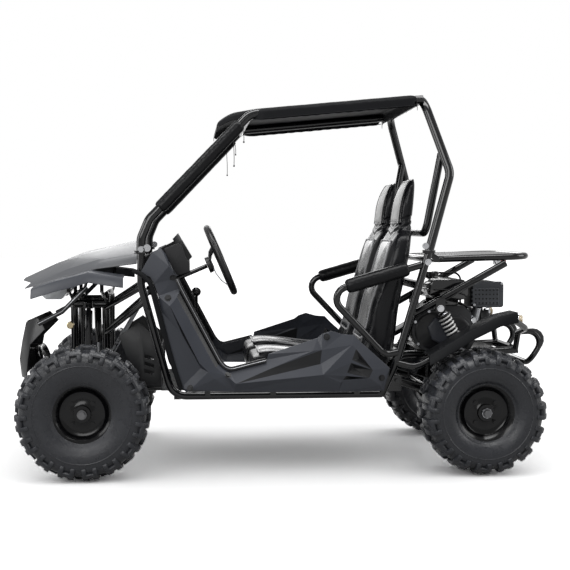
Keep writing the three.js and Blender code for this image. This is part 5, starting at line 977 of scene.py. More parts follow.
def seats():
    shell = rounded(swollen(seat_shell(), SEAT_VOXEL, SEAT_SWELL, SEAT_STILL, SEAT_FLOOR))
    smooth(settled(shell))
    neck_pleats(shell)
    for vertex in shell.data.vertices:
        vertex.co.z = max(vertex.co.z, SEAT_FLOOR)
    shell.data.update()
    tree = face_finder_of(shell)
    across = Vector((0, 2 * SEAT_Y, 0))
    other = copied(shell, "seat_right_shell", mm(0, -2 * SEAT_Y, 0))
    for piece, side in ((shell, "left"), (other, "right")):
        dress(piece, "frame")
        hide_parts(f"seat_{side}")
    for label, (low, high, half, material, crown, taper, trim) in SEAT_INSERTS.items():
        panel, line = seat_insert(f"seat_left_{label}_insert", tree, low, high, half, material, crown, taper)
        twin = copied(panel, f"seat_right_{label}_insert", mm(0, -2 * SEAT_Y, 0))
        dress(twin, "frame")
        for side, route in (("left", line), ("right", [p - across for p in line])):
            piping(f"seat_{side}_{label}_piping", route, PIPING_THICK, trim, "frame", "seat_vinyl")


# Roof: one fabric sheet drawn over the cage bars, with hems down its sides and a stiff visor in front
ROOF = {"rear": -466, "front": 96, "half": 394, "rise": 19, "hem": 31, "inset": 40, "bar_x": 142, "bar_z": 1312,
        "slope": 60 / 636, "shoulder": 17, "thick": 0.0022}
VISOR = {"bend": 186, "tip": 262, "fall": 8, "drop": 40, "half": 330, "hem": 16}


def roof_top(x):
    return ROOF["bar_z"] + (ROOF["bar_x"] - x) * ROOF["slope"] + ROOF["rise"]


def roof_row(x):
    """Half width, height of the flat, and hem length of the roof at one place along it."""
    if x <= ROOF["front"]:
        return ROOF["half"], roof_top(x), ROOF["hem"]
    front_top = roof_top(ROOF["front"])
    if x <= VISOR["bend"]:
        t = (x - ROOF["front"]) / (VISOR["bend"] - ROOF["front"])
        ease = t * t * (3 - 2 * t)
        half = ROOF["half"] + (VISOR["half"] - ROOF["half"]) * ease
        return half, front_top - VISOR["fall"] * t ** 1.4, ROOF["hem"] + (VISOR["hem"] - ROOF["hem"]) * ease
    t = (x - VISOR["bend"]) / (VISOR["tip"] - VISOR["bend"])
    top = front_top - VISOR["fall"] - VISOR["drop"] * (0.35 * t + 0.65 * t * t)
    return VISOR["half"] - 26 * t ** 3, top, VISOR["hem"] - 6 * t


def roof_section(half, hem):
    """Places across the roof from one hem to the other, as distance from the middle and height over the flat."""
    flat, fall = half - ROOF["inset"], ROOF["shoulder"]
    section = [(flat * k / 18, 0.0) for k in range(1, 19)]
    for k in range(1, 7):
        a = math.pi / 2 * k / 6
        section.append((flat + ROOF["inset"] * math.sin(a), -fall * (1 - math.cos(a))))
    section += [(half + 4 * k / 5, -fall - (hem - 2) * k / 5) for k in range(1, 6)]
    return [(-y, z) for y, z in reversed(section)] + [(0.0, 0.0)] + section


def roof_sheet():
    rear, tip = ROOF["rear"], VISOR["tip"]
    rows = [(rear + dx, dz, 1.0) for dx, dz in ((-3, -44), (-2.5, -30), (-2, -18), (0, -9), (5, -3), (14, -0.5))]
    rows += [(rear + 26 + (tip - 8 - rear - 26) * i / 74, 0.0, 1.0) for i in range(75)]
    rows += [(tip - 4, -1.5, 0.995), (tip - 1, -5, 0.99), (tip, -11, 0.985), (tip - 1.5, -17, 0.985)]
    points = []
    for x, dz, narrow in rows:
        half, top, hem = roof_row(min(max(x, rear), tip))
        half *= narrow
        flat = half - ROOF["inset"]
        low_end = 1.0 if dz > -1 else 0.45
        t = (x - rear) / (ROOF["front"] - rear)
        span = max(0.0, math.sin(math.pi * max(0.0, min(1.0, t))))
        section = roof_section(half, hem)
        for y, z in section:
            sag = -5.0 * span * max(0.0, 1 - (y / flat) ** 2)
            ripple = 0.9 * span * math.sin(x * 0.043 + abs(y) * 0.021) * math.sin(y * 0.034 + 0.6)
            pull = 1.1 * math.sin(x * 0.16 + y * 0.02) * math.exp(-((abs(y) - half) / 26) ** 2) * (0.4 + 0.6 * span)
            points.append(mm(x, y, top + dz + z * low_end + sag + ripple * 0.7 + (pull if z < -1 else 0)))
    size = len(section)
    faces = [(r * size + c, r * size + c + 1, (r + 1) * size + c + 1, (r + 1) * size + c)
             for r in range(len(rows) - 1) for c in range(size - 1)]
    sheet = put("roof_fabric", points, faces, ROOF_FABRIC)
    faces_up = sheet.data.polygons[len(sheet.data.polygons) // 2].normal.z > 0
    thick = sheet.modifiers.new("thickness", "SOLIDIFY")
    thick.thickness = ROOF["thick"]
    thick.offset = -1 if faces_up else 1
    smooth(outward(settled(rounded(sheet))))
    dress(sheet, "frame")
    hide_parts("roof_canopy")
    for side, way in SIDES.items():
        seam = []
        for x in (rear + 2 + i * 14 for i in range(41)):
            half, top, drop = roof_row(x)
            seam.append(Vector((x, (half + 4.6) * way, top - ROOF["shoulder"] - drop + 6)))
        piping(f"roof_hem_{side}", seam, 3.2, ROOF_FABRIC, "frame", "body_plastic", closed=False)


# Sleeves: padded vinyl tubes over the hip bars and the front pillars
SLEEVE = {"steps": 96, "count": 48, "gap": 1.2, "ripple": 0.25}


def sleeve(name, start, end, outer, tube, node):
    """A padded sleeve round a straight tube: drawn in at both ends, with a pressed seam and creases."""
    axis = Vector(end) - Vector(start)
    long = axis.length
    axis.normalize()
    side = axis.cross(Vector((0, 0, 1))).normalized()
    up = side.cross(axis)
    steps, count = SLEEVE["steps"], SLEEVE["count"]
    turns = [2 * math.pi * k / count for k in range(count)]
    rings = []
    for r in range(steps + 1):
        along = long * (r / steps)
        edge = min(along, long - along)
        closing = 1 - math.exp(-edge / 5.0)
        base = tube + SLEEVE["gap"] + (outer - tube - SLEEVE["gap"]) * (0.35 + 0.65 * closing)
        ring = []
        for a in turns:
            crease = (0.9 * math.sin(along * 0.11 + 2.0 * math.sin(a)) + 0.6 * math.sin(along * 0.29 + 3 * a)
                      + 0.5 * math.sin(5 * a + along * 0.05))
            pull = 0.8 * math.exp(-edge / 30) * math.sin(11 * a)
            dent = -2.2 * math.exp(-((a - 4.71) / 0.16) ** 2)
            radius = base + SLEEVE["ripple"] * closing * (crease + pull) + dent
            ring.append((Vector(start) + axis * along + side * (math.cos(a) * radius) + up * (math.sin(a) * radius)) / 1000)
        rings.append(ring)
    bore = tube + 0.5
    for t in (1.0, 0.0):
        rings.append([(Vector(start) + axis * (long * t) + side * (math.cos(a) * bore) + up * (math.sin(a) * bore)) / 1000
                      for a in turns])
    points = [p for ring in rings for p in ring]
    thing = rounded(outward(put(name, points, ring_faces(len(rings), count), SLEEVE_BLACK)))
    smooth(thing)
    dress(settled(thing), "frame")
    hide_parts(node)
    return thing


def part_way(a, b, first, last):
    """Two places on the line from a to b, at the given shares of it."""
    return Vector(a).lerp(Vector(b), first), Vector(a).lerp(Vector(b), last)


def sleeves():
    for side, way in SIDES.items():
        bar = part_way((-128, 444 * way, 664), (-478, 444 * way, 764), 0.21, 0.86)
        sleeve(f"side_bar_sleeve_{side}", *bar, 27.0, 13.5, f"side_bar_pad_{side}")
        pillar = part_way((508, 436 * way, 930), (142, 372 * way, 1312), 0.1, 0.9)
        sleeve(f"pillar_sleeve_{side}", *pillar, 24.0, 16.5, f"pillar_pad_{side}")


# Steering wheel: a padded grip on three bright spokes that dish down to the hub
WHEEL_CENTRE = Vector((247, 200, 777))
COLUMN_AXIS = Vector((-0.9207, 0, 0.3903))
WHEEL_UP = COLUMN_AXIS.cross(Vector((0, 1, 0)))
GRIP = {"radius": 129.5, "thick": 13.2, "hub_down": 44, "spoke": (26, 5)}


def wheel_place(radius, angle, out):
    return (WHEEL_CENTRE + Vector((0, 1, 0)) * (radius * math.cos(angle)) + WHEEL_UP * (radius * math.sin(angle))
            + COLUMN_AXIS * out)


def steering_wheel():
    steps, count = 120, 20
    points = []
    for s in range(steps):
        angle = 2 * math.pi * s / steps
        for k in range(count):
            a = 2 * math.pi * k / count
            rib = 0.55 * math.sin(angle * 40) * max(0.0, -math.cos(a)) ** 2
            thick = GRIP["thick"] + rib
            points.append(wheel_place(GRIP["radius"] + thick * math.cos(a), angle, thick * math.sin(a)) / 1000)
    grip = smooth(outward(put("steering_grip", points, ring_faces(steps, count), GRIP_BLACK)))
    dress(grip, "steering")
    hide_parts("steering_wheel")
    for n, degrees in enumerate((90, 210, 330)):
        angle = math.radians(degrees)
        wide, thick = GRIP["spoke"]
        path = [(22, -GRIP["hub_down"] + 8), (44, -GRIP["hub_down"] + 9), (74, -27), (104, -9), (GRIP["radius"] - 4, -1)]
        rings = []
        for r, out in path:
            half = (wide / 2) * (1 - 0.28 * (r - 22) / 105) / r
            ring = [wheel_place(r, angle - half, out - thick / 2), wheel_place(r, angle + half, out - thick / 2),
                    wheel_place(r, angle + half * 0.8, out + thick / 2), wheel_place(r, angle - half * 0.8, out + thick / 2)]
            rings.append([p / 1000 for p in ring])
        spoke_points, spoke_faces = closed_loft(rings)
        spoke = outward(put(f"steering_spoke_{n}", spoke_points, spoke_faces, ZINC))
        bevel_and_shade(spoke, 1.0)
        dress(spoke, "steering")
    hub = [(0.05, 12), (16, 12), (22, 10), (30, 4), (31, -2), (31, -10), (26, -11), (13, -11), (0.05, -11)]
    cap = turned_about("steering_hub", hub, WHEEL_CENTRE - COLUMN_AXIS * GRIP["hub_down"], COLUMN_AXIS, GRIP_BLACK)
    dress(cap, "steering")


def bevel_and_shade(thing, width, sharp=0.6):
    return settled(shaded(broken_edges(thing, width), sharp))


def turned_about(name, profile, foot, axis, material, steps=40, sharp=0.7):
    """A closed profile of radius and height in millimetres, turned round any axis through a foot point."""
    turn = Vector((0, 1, 0)).rotation_difference(Vector(axis).normalized()).to_matrix()
    points = [(Vector(foot) + turn @ Vector((math.sin(a) * r, h, math.cos(a) * r))) / 1000
              for a in (2 * math.pi * i / steps for i in range(steps)) for r, h in profile]
    thing = outward(put(name, points, ring_faces(steps, len(profile)), material))
    return settled(shaded(thing, sharp))


# Muffler guard: pressed plates with rows of round holes over the silencer
def hole_tree():
    """A plate made of equal cells, each with a hole through it, laid in rows and columns."""
    tree, build, inputs, out = new_tree("punched_plate", [
        ("Columns", "NodeSocketInt", 8), ("Rows", "NodeSocketInt", 4), ("Column step", "NodeSocketFloat", 0.0144),
        ("Row step", "NodeSocketFloat", 0.017), ("Finish", "NodeSocketMaterial", None)])
    step = build.node("ShaderNodeCombineXYZ", X=inputs["Column step"])
    rise = build.node("ShaderNodeCombineXYZ", Z=inputs["Row step"])
    row = build.node("GeometryNodeMeshLine", Count=inputs["Columns"], Offset=step.outputs[0])
    column = build.node("GeometryNodeMeshLine", Count=inputs["Rows"], Offset=rise.outputs[0])
    plate = build.copies(column.outputs[0], build.copies(row.outputs[0], inputs["Geometry"]))
    joined = build.node("GeometryNodeMergeByDistance", i0=plate, Distance=0.00002)
    finished(build, joined.outputs[0], inputs, out)
    return tree


HOLE_CELL = {"wide": 14.4, "tall": 17.0, "hole": 3.5, "thick": 2.4, "sides": 12}
GUARD = {"y": 94.6, "columns": 8, "rows": 4, "first": (-851, 601), "middle": (-814.5, 635), "edge": 3.0}
GUARD_EDGE = [(-877, 590), (-870, 583.5), (-759, 583.5), (-752.5, 590), (-752.5, 672), (-764, 686.5),
              (-866, 686.5), (-877, 674)]


def hole_cell(wide, tall, hole, thick, sides):
    """One square of plate round a hole, open at its four edges so that the cells join."""
    corners = [(wide / 2, tall / 2), (-wide / 2, tall / 2), (-wide / 2, -tall / 2), (wide / 2, -tall / 2)]
    angles = sorted([2 * math.pi * k / sides + math.pi / sides for k in range(sides)]
                    + [math.atan2(z, x) % (2 * math.pi) for x, z in corners])
    points, faces = [], []
    for a in angles:
        c, s = math.cos(a), math.sin(a)
        reach = min(wide / 2 / max(abs(c), 1e-6), tall / 2 / max(abs(s), 1e-6))
        points += [mm(c * radius, y, s * radius) for radius in (reach, hole) for y in (0, -thick)]
    for k in range(len(angles)):
        a, b = 4 * k, 4 * ((k + 1) % len(angles))
        faces += [(a, b, b + 2, a + 2), (a + 2, b + 2, b + 3, a + 3), (a + 3, b + 3, b + 1, a + 1)]
    return points, faces


def muffler_guard():
    # The muffler itself is painted near black, as painted shade seen through the guard's holes.
    soften("muffler", MUFFLER_PAINTED_SHADE, 4.0)
    cell, y = HOLE_CELL, GUARD["y"]
    columns, rows = GUARD["columns"], GUARD["rows"]
    x0, z0 = GUARD["first"]
    points, faces = hole_cell(**cell)
    plate = put("muffler_hole_plate", [p + mm(x0, y, z0) for p in points], faces, None)
    grown(plate, "cells", hole_tree(), Columns=columns, Rows=rows, Column_step=cell["wide"] / 1000,
          Row_step=cell["tall"] / 1000, Finish=MUFFLER_GREY)
    dress(closed_rim(settled(plate)), "frame")
    left, right = x0 - cell["wide"] / 2, x0 + cell["wide"] * (columns - 0.5)
    low, high = z0 - cell["tall"] / 2, z0 + cell["tall"] * (rows - 0.5)
    inner = [(left, low)] * 2 + [(right, low)] * 2 + [(right, high)] * 2 + [(left, high)] * 2
    middle_x, middle_z = GUARD["middle"]
    points, faces = [], []
    for ox, oz in GUARD_EDGE:
        points += [mm(ox, y - GUARD["edge"], oz), mm(ox * 0.985 + middle_x * 0.015, y, oz * 0.97 + middle_z * 0.03)]
    for ix, iz in inner:
        points += [mm(ix, y, iz), mm(ix, y - cell["thick"], iz)]
    count = len(GUARD_EDGE)
    base = 2 * count
    for k in range(count):
        a, b = 2 * k, 2 * ((k + 1) % count)
        faces += [(a, b, b + 1, a + 1), (a + 1, b + 1, base + b, base + a),
                  (base + a, base + b, base + b + 1, base + a + 1), (base + a + 1, base + b + 1, b, a)]
    surround = outward(put("muffler_guard_surround", points, faces, MUFFLER_GREY))
    dress(bevel_and_shade(surround, 0.6), "frame")
    spots = [((x, y - 0.6, z), (0, 1, 0), 0.8) for x, z in ((-870, 678), (-760, 594))]
    bolts("muffler_guard_bolts", spots, "frame", ZINC, "zinc_steel", head=9, height=4, washer=13)


def closed_rim(thing):
    """Closes the open edge round a plate of joined cells."""
    grid = bmesh.new()
    grid.from_mesh(thing.data)
    open_edges = [e for e in grid.edges if e.is_boundary]
    if open_edges:
        bmesh.ops.bridge_loops(grid, edges=open_edges)
    bmesh.ops.recalc_face_normals(grid, faces=grid.faces)
    grid.to_mesh(thing.data)
    grid.free()
    return thing


# Engine: cylinder fins, a round belt cover with a raised facet, the tank's cap and small bright fittings
CYLINDER = {"foot": (-694, -4, 508.6), "axis": (-0.988, 0, 0.151), "pitch": 7.6, "fins": 11, "size": 54, "thick": 2.0}


BELT_COVERS = {"front": (-566, 504), "rear": (-650, 486)}
BELT_COVER = [(0.05, 6), (30, 6), (34, 4.5), (60, 4), (70, 1), (82.6, -10), (82.6, -24), (60, -24), (0.05, -24)]
COVER_FACET = [(-560, 470), (-540, 520), (-572, 556), (-616, 546), (-640, 500), (-628, 462), (-594, 452)]
TANK_SEAM = [(-570.6, -120), (-570.6, 120), (-590, 141.6), (-706, 141.6), (-725.6, 120), (-725.6, -120),
             (-706, -141.6), (-590, -141.6)]


def cylinder_fins():
    axis = Vector(CYLINDER["axis"]).normalized()
    up = axis.cross(Vector((0, 1, 0))).normalized()
    foot = Vector(CYLINDER["foot"])
    size, thick = CYLINDER["size"], CYLINDER["thick"]
    outline = []
    for k in range(24):
        a = 2 * math.pi * k / 24
        c, s = math.cos(a), math.sin(a)
        outline.append((math.copysign(abs(c) ** 0.5, c) * size, math.copysign(abs(s) ** 0.5, s) * size))
    rings = [[(foot + axis * (n * thick) + Vector((0, 1, 0)) * (u * grow) + up * (v * grow)) / 1000 for u, v in outline]
             for n, grow in ((0, 0.97), (0.3, 1.0), (0.7, 1.0), (1, 0.97))]
    points, faces = closed_loft(rings)
    fin = outward(put("cylinder_fins", points, faces, None))
    grown(fin, "fins", ROW, Count=CYLINDER["fins"], Step=axis * CYLINDER["pitch"] / 1000, Finish=CAST_ALLOY)
    dress(settled(fin), "frame")


def belt_covers():
    for label, (x, z) in BELT_COVERS.items():
        plate = turned(f"belt_cover_{label}", [(r, y + 226) for r, y in BELT_COVER], mm(x, 0, z), COVER_BLACK, 72, 0.5)
        dress(plate, "frame")
    middle_x, middle_z = (sum(p[k] for p in COVER_FACET) / len(COVER_FACET) for k in (0, 1))
    rings = [[mm(middle_x + (x - middle_x) * s, y, middle_z + (z - middle_z) * s) for x, z in COVER_FACET]
             for s, y in ((1.0, 224), (0.97, 234.5), (0.86, 237.5))]
    points, faces = closed_loft(rings)
    raised = outward(put("belt_cover_facet", points, faces, PANEL_GREY))
    dress(bevel_and_shade(raised, 3.0, 0.4), "frame")
    ring = [((-566 + math.sin(a) * 76, 226, 504 + math.cos(a) * 76), (0, 1, 0), 0.8) for a in (0.2, 1.1, 2.3, 4.1, 5.2)]
    bolts("belt_cover_bolts", ring, "frame", ZINC, "zinc_steel", head=9, height=5, washer=14)


def engine_details():
    cylinder_fins()
    belt_covers()
    cap = [(0.05, 20), (20, 20), (25, 17), (27, 12), (27, 3), (24, 2), (24, -4), (0.05, -4)]
    dress(turned_about("tank_cap", cap, (-620, -60, 700), (0, 0, 1), COVER_BLACK), "frame")
    nipple = [(0.05, 10), (5.5, 10), (5.5, 2), (7, 0), (7, -16), (0.05, -16)]
    dress(turned_about("tank_cap_nipple", nipple, (-638, -60, 716), (-1, 0, 0), ZINC, 20), "frame")
    piping("tank_seam", [Vector((x, y, 657)) for x, y in TANK_SEAM], 6, TANK_BLACK, "frame", "tank_paint")
    plug = [(r * 1.35, h) for r, h in ((0.05, 8), (9, 8), (12, 4), (12, -6), (16, -8), (16, -22), (0.05, -22))]
    cover = turned_about("cylinder_bright_cover", plug, (-762, 60, 528), (-0.5, 0.86, 0.1), CHROME, 28)
    dress(cover, "frame")
    pipe = [(0.05, 0), (17, 0), (17, 52), (13, 52), (13, 46), (0.05, 46)]
    stub = turned_about("exhaust_stub", pipe, (-774, 36, 532), (-0.16, 0.2, 0.97), ZINC, 28)
    dress(stub, "frame")


SHOCK = {"top": (-585, 593), "foot": (-668, 434), "y": 262, "bolt_out": 16}
SHOCK_COLLAR = [(0.05, 0), (19, 0), (23, 3), (23, 9), (17, 14), (12, 16), (0.05, 16)]


def rear_shocks():
    (top_x, top_z), (foot_x, foot_z) = SHOCK["top"], SHOCK["foot"]
    for side, way in SIDES.items():
        node = f"rear_spring_{side}"
        top, foot = Vector((top_x, SHOCK["y"] * way, top_z)), Vector((foot_x, SHOCK["y"] * way, foot_z))
        axis = (top - foot).normalized()
        coil = copied(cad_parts[node], f"rear_coil_{side}", Vector())
        coil.parent = None
        coil.data.materials.clear()
        coil.data.materials.append(SPRING_WHITE)
        smooth(settled(rounded(welded(coil))))
        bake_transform(coil)
        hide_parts(node)
        collar = turned_about(f"rear_shock_collar_{side}", SHOCK_COLLAR, top - axis * 34, axis, CHROME, 32)
        dress(collar, f"rear_shock_body_{side}")
        out = (SHOCK["y"] + SHOCK["bolt_out"]) * way
        bolts(f"rear_shock_top_bolt_{side}", [((top_x, out, top_z), (0, way, 0), 1.2)], "frame", CHROME,
              head=15, height=8, washer=22)
        bolts(f"rear_shock_foot_bolt_{side}", [((foot_x, out, foot_z), (0, way, 0), 1.0)], "swing_arm", CHROME,
              head=14, height=7, washer=20)


# Small fittings on the body: bolts, trims, lamps and clamps
PANEL_BOLTS = [(441, 650), (423, 721), (229, 373), (-128, 506), (-328, 356), (364, 327)]
REAR_LAMP = [(0.05, 9), (15, 9), (18, 6), (18, -4), (15, -8), (11, -14), (0.05, -14)]
REAR_LAMP_SHELL = [(0.05, 1), (19.4, 1), (19.4, -7), (14, -16), (0.05, -16)]
FRONT_CYLINDER = [(0.05, 14), (11, 14), (14, 11), (14, -12), (11, -15), (0.05, -15)]
# The rear fender's clamps: the middle of the pair, half their distance, and the fender tube's half thickness
CLAMP = {"place": (-640, 452, 489), "apart": 9, "radius": 13.5}


def fittings():
    tree = face_finder_of(bpy.data.objects["side_panel_left"])
    spots = []
    for x, z in PANEL_BOLTS:
        hit, normal = outer_face(tree, x, z, 1)
        if hit is not None:
            spots.append((tuple(hit * 1000), tuple(normal), 1.0))
    both_sides = spots + [((x, -y, z), (nx, -ny, nz), size) for (x, y, z), (nx, ny, nz), size in spots]
    bolts("panel_bolts", both_sides, "frame", COVER_BLACK, "dark_plastic", head=15, height=5, washer=24)
    joint = []
    for way in (1, -1):
        for x, z in ((536, 820), (515, 827)):
            joint.append(((x, (440 + 17) * way, z), (0, way, 0), 1.1))
        for x, z in ((-490, 833), (-500, 774)):
            joint.append(((x, (440 + 15) * way, z), (0, way, 0), 1.0))
    bolts("cage_joint_bolts", joint, "frame", CHROME, "zinc_steel", head=15, height=9, washer=24)
    for side, way in SIDES.items():
        strip = [(738, 332 * way, 683), (829, 334 * way, 592), (920, 300 * way, 545)]
        dress(flat_bar(f"nose_trim_{side}", strip, 17, 9, way, COVER_BLACK), "frame")
        bright = [(x, y + 4.6 * way, z + 2) for x, y, z in strip]
        dress(flat_bar(f"nose_trim_line_{side}", bright, 2.6, 2.2, way, ZINC), "frame")
        fender_clamps(side, way)
        back = (-0.94, 0.25 * way, 0)
        lamp = turned_about(f"rear_lamp_{side}", REAR_LAMP, (-905, 236 * way, 545), back, LENS_AMBER, 32)
        dress(lamp, "frame")
        cup = turned_about(f"rear_lamp_shell_{side}", REAR_LAMP_SHELL, (-905 + 6, 234.6 * way, 545), back, CHROME, 32)
        dress(cup, "frame")
        cylinder = turned_about(f"front_cylinder_{side}", FRONT_CYLINDER, (808, 236 * way, 536), (0, way, 0), BRASS, 28)
        dress(cylinder, "frame")
    tail = box_piece("tail_light", (-902, -38, 752), (-878, 38, 773), LENS_RED)
    dress(bevel_and_shade(tail, 3.0), "frame")
    shell = box_piece("tail_light_shell", (-879, -40, 750), (-866, 40, 778), CHROME)
    dress(bevel_and_shade(shell, 2.0), "frame")


def fender_clamps(side, way):
    """Two bright half rings over the rear fender's tube."""
    x, y, z = CLAMP["place"]
    along, up, radius = Vector((0.883, 0, -0.469)), Vector((0.469, 0, 0.883)), CLAMP["radius"]
    for n, apart in enumerate((-CLAMP["apart"], CLAMP["apart"])):
        foot = Vector((x, y * way, z)) + along * apart
        line = [foot + up * (radius * math.sin(a)) + Vector((0, way, 0)) * (radius * math.cos(a))
                for a in (math.pi * (-0.5 + i / 12) for i in range(13))]
        piping(f"fender_clamp_{side}_{n}", line, 5, CHROME, "frame", "zinc_steel", closed=False)


def box_piece(name, low, high, material):
    points = [mm(x, y, z) for x in (low[0], high[0]) for y in (low[1], high[1]) for z in (low[2], high[2])]
    faces = [(0, 1, 3, 2), (4, 6, 7, 5), (0, 4, 5, 1), (2, 3, 7, 6), (0, 2, 6, 4), (1, 5, 7, 3)]
    return outward(put(name, points, faces, material))


def flat_bar(name, line, tall, thick, way, material):
    """A flat strip along a route, standing on edge, with its broad face out to the side."""
    rings = []
    for i, place in enumerate(line):
        here = Vector(place)
        ahead = (Vector(line[min(i + 1, len(line) - 1)]) - Vector(line[max(i - 1, 0)])).normalized()
        out = Vector((0, way, 0))
        up = ahead.cross(out).normalized()
        rings.append([(here + up * (a * tall / 2) + out * (b * thick / 2)) / 1000
                      for a, b in ((1, 1), (1, -1), (-1, -1), (-1, 1))])
    points, faces = closed_loft(rings)
    return bevel_and_shade(outward(put(name, points, faces, material)), min(2.0, thick / 5))


# Side panels: one moulding each, folded into facets, with three vents behind and a raised rib along the door. The
# facets in its recesses and vents are given the black cover finish: painted shade.
# The points are named corners of the facets, and a facet is a list of their names
SIDE_POINTS = {
    "a1": (465, 470, 827), "a2": (497, 468, 813), "a3": (540, 460, 738), "a4": (504, 470, 724), "a5": (490, 474, 700),
    "a6": (476, 476, 657), "a7": (466, 474, 603), "a8": (445, 474, 510), "a9": (421, 474, 421), "a10": (396, 470, 327),
    "a11": (379, 472, 312), "a12": (207, 474, 311), "a13": (-169, 472, 306), "a14": (-338, 464, 307), "a15": (-360, 462, 390),
    "a16": (-253, 466, 486), "a17": (-228, 462, 512), "a18": (-188, 462, 515), "a19": (-144, 464, 527), "a20": (-111, 466, 516),
    "a21": (-93, 466, 502), "a22": (84, 464, 445), "a23": (88, 462, 424), "a24": (224, 462, 392), "a25": (253, 462, 418),
    "a26": (395, 464, 684), "a27": (413, 472, 720), "a28": (451, 468, 809), "b1": (437, 488, 764), "b4": (409, 482, 653),
    "b5": (434, 494, 622), "b6": (332, 494, 419), "b8": (272, 482, 399), "b9": (232, 482, 370), "b10": (300, 492, 386),
    "b11": (389, 478, 514), "b12": (325, 474, 398), "b13": (386, 474, 324), "b14": (364, 484, 321), "d1": (276, 492, 360),
    "c1": (201, 492, 342), "c2": (-111, 500, 372), "c3": (-106, 482, 410), "c4": (-109, 480, 460), "c5": (-77, 482, 457),
    "c6": (-218, 478, 477), "c9": (78, 484, 394), "e1": (-233, 480, 462), "e2": (-178, 484, 340), "e3": (-185, 482, 351),
    "h1": (-218, 484, 423), "h2": (-214, 486, 413), "h3": (-200, 484, 376), "h4": (-196, 486, 366), "g1": (-294, 482, 386),
    "g2": (-280, 484, 357), "g3": (-321, 476, 330), "v1": (-246, 470, 424), "v2": (-228, 470, 392), "v3": (-220, 472, 358),
}
SIDE_GREY_FACETS = [
    "a1 a2 a3 a4 a5 b1", "a1 b1 a28", "b1 a5 a6 a27", "b1 a27 a28", "a6 a7 b5 b4 a26 a27", "b5 b6 b10 b9 b8 b4", "a24 a25 b8 b9",
    "a24 b9 c1 c9 c4 c5 a23", "c1 c2 c3", "c1 a12 a13 c2", "b10 d1 a12 c1 b9", "b10 b14 a11 a12 d1", "b12 b13 b14 b10", "a7 a8 b11 b5",
    "a8 a9 a10 b13 b12 b11", "b6 b12 b10", "a10 a11 b14 b13", "a23 c5 a21 a22", "a21 c5 c4 c6 a17 a18 a19 a20", "c6 c4 c3", "c6 c3 c2",
    "c6 c2 a13 e2 e3 h4 h3 h2 h1 e1", "a17 c6 e1 a16", "e1 g1 a15 a16", "h1 h2 g1", "h3 h4 g2", "g1 g2 g3 a14 a15", "e3 e2 a13 a14 g3 g2",
]
# These facets, in the panel's recesses and vents, take the black cover finish: shade painted into their colour.
SIDE_PAINTED_SHADE_FACETS = ["b4 b8 a25 a26", "c1 c3 c4 c9", "b5 b11 b12 b6", "e1 h1 v1", "h1 g1 v1", "e1 v1 g1", "h2 h3 v2", "h3 g2 v2", "h2 v2 g1",
                    "g1 v2 g2", "h4 e3 v3", "e3 g2 v3", "h4 v3 g2"]
DOOR_TRIM = [(409, 470, 717), (395, 470, 685), (257, 470, 422), (239, 470, 401), (218, 470, 393), (92, 470, 424)]
FENDER_LIP = [(566, 470, 748), (529, 476, 732), (503, 480, 703), (486, 480, 646), (465, 480, 564), (444, 480, 482),
              (420, 480, 396), (396, 478, 322)]
PANEL = {"wall": 0.003, "edge": 1.2, "edge_degrees": 9, "sharp": 0.12}
DASH = {"half": 402, "shoulder": 398, "middle": (406, 784), "end_share": 0.97}
DASH_END = [(456, 822), (406, 844), (391, 833), (377, 793), (363, 768), (363, 739), (406, 725), (424, 748)]


def side_panels():
    names = list(SIDE_POINTS)
    for side, way in SIDES.items():
        points = [mm(x, y * way, z) for x, y, z in SIDE_POINTS.values()]
        facets = SIDE_GREY_FACETS + SIDE_PAINTED_SHADE_FACETS
        faces = [tuple(names.index(n) for n in facet.split()) for facet in facets]
        panel = put(f"side_panel_{side}", points, faces, PANEL_GREY)
        # The second finish, black, paints shade on the recessed and vent facets.
        panel.data.materials.append(COVER_BLACK)
        for n, face in enumerate(panel.data.polygons):
            face.material_index = 1 if n >= len(SIDE_GREY_FACETS) else 0
        grid = bmesh.new()
        grid.from_mesh(panel.data)
        bmesh.ops.recalc_face_normals(grid, faces=grid.faces)
        grid.faces.ensure_lookup_table()
        if sum(face.normal.y * face.calc_area() for face in grid.faces) * way < 0:
            bmesh.ops.reverse_faces(grid, faces=grid.faces)
        bmesh.ops.triangulate(grid, faces=grid.faces)
        grid.to_mesh(panel.data)
        grid.free()
        wall = panel.modifiers.new("wall", "SOLIDIFY")
        wall.thickness = PANEL["wall"]
        wall.offset = -1
        shaded(broken_edges(panel, PANEL["edge"], PANEL["edge_degrees"]), PANEL["sharp"])
        dress(settled(panel), "frame")
        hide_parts(f"body_side_{side}")
        trim = rounded_line([Vector((x, y * way, z)) for x, y, z in DOOR_TRIM], 22)
        dress(flat_bar(f"door_trim_{side}", trim, 15, 9, way, GRIP_BLACK), "frame")
        shine = [Vector((p.x, p.y + 4.8 * way, p.z)) for p in trim]
        piping(f"door_trim_line_{side}", shine, 2.4, ZINC, "frame", "zinc_steel", closed=False)
        lip = rounded_line([Vector((x, y * way, z)) for x, y, z in FENDER_LIP], 14)
        dress(flat_bar(f"fender_lip_{side}", lip, 17, 12, way, FENDER_GREY), "frame")


def rounded_line(line, radius, steps=5):
    """The same route with each corner drawn as a short curve."""
    out = [line[0]]
    for before, here, after in zip(line, line[1:], line[2:]):
        cut = min(radius, (here - before).length * 0.45, (after - here).length * 0.45)
        start, end = here + (before - here).normalized() * cut, here + (after - here).normalized() * cut
        out += [(start * (1 - t) ** 2) + here * (2 * t * (1 - t)) + end * t ** 2 for t in (i / steps for i in range(steps + 1))]
    return out + [line[-1]]


def dash_body():
    x0, z0 = DASH["middle"]
    share = DASH["end_share"]
    end = [(x0 + (x - x0) * share, z0 + (z - z0) * share) for x, z in DASH_END]
    rings = [[mm(x, y, z) for x, z in outline]
             for y, outline in ((-DASH["half"], end), (-DASH["shoulder"], DASH_END),
                                (DASH["shoulder"], DASH_END), (DASH["half"], end))]
    points, faces = closed_loft(rings)
    body = outward(put("dash_body", points, faces, DASH_GREY))
    dress(bevel_and_shade(body, 2.0), "frame")


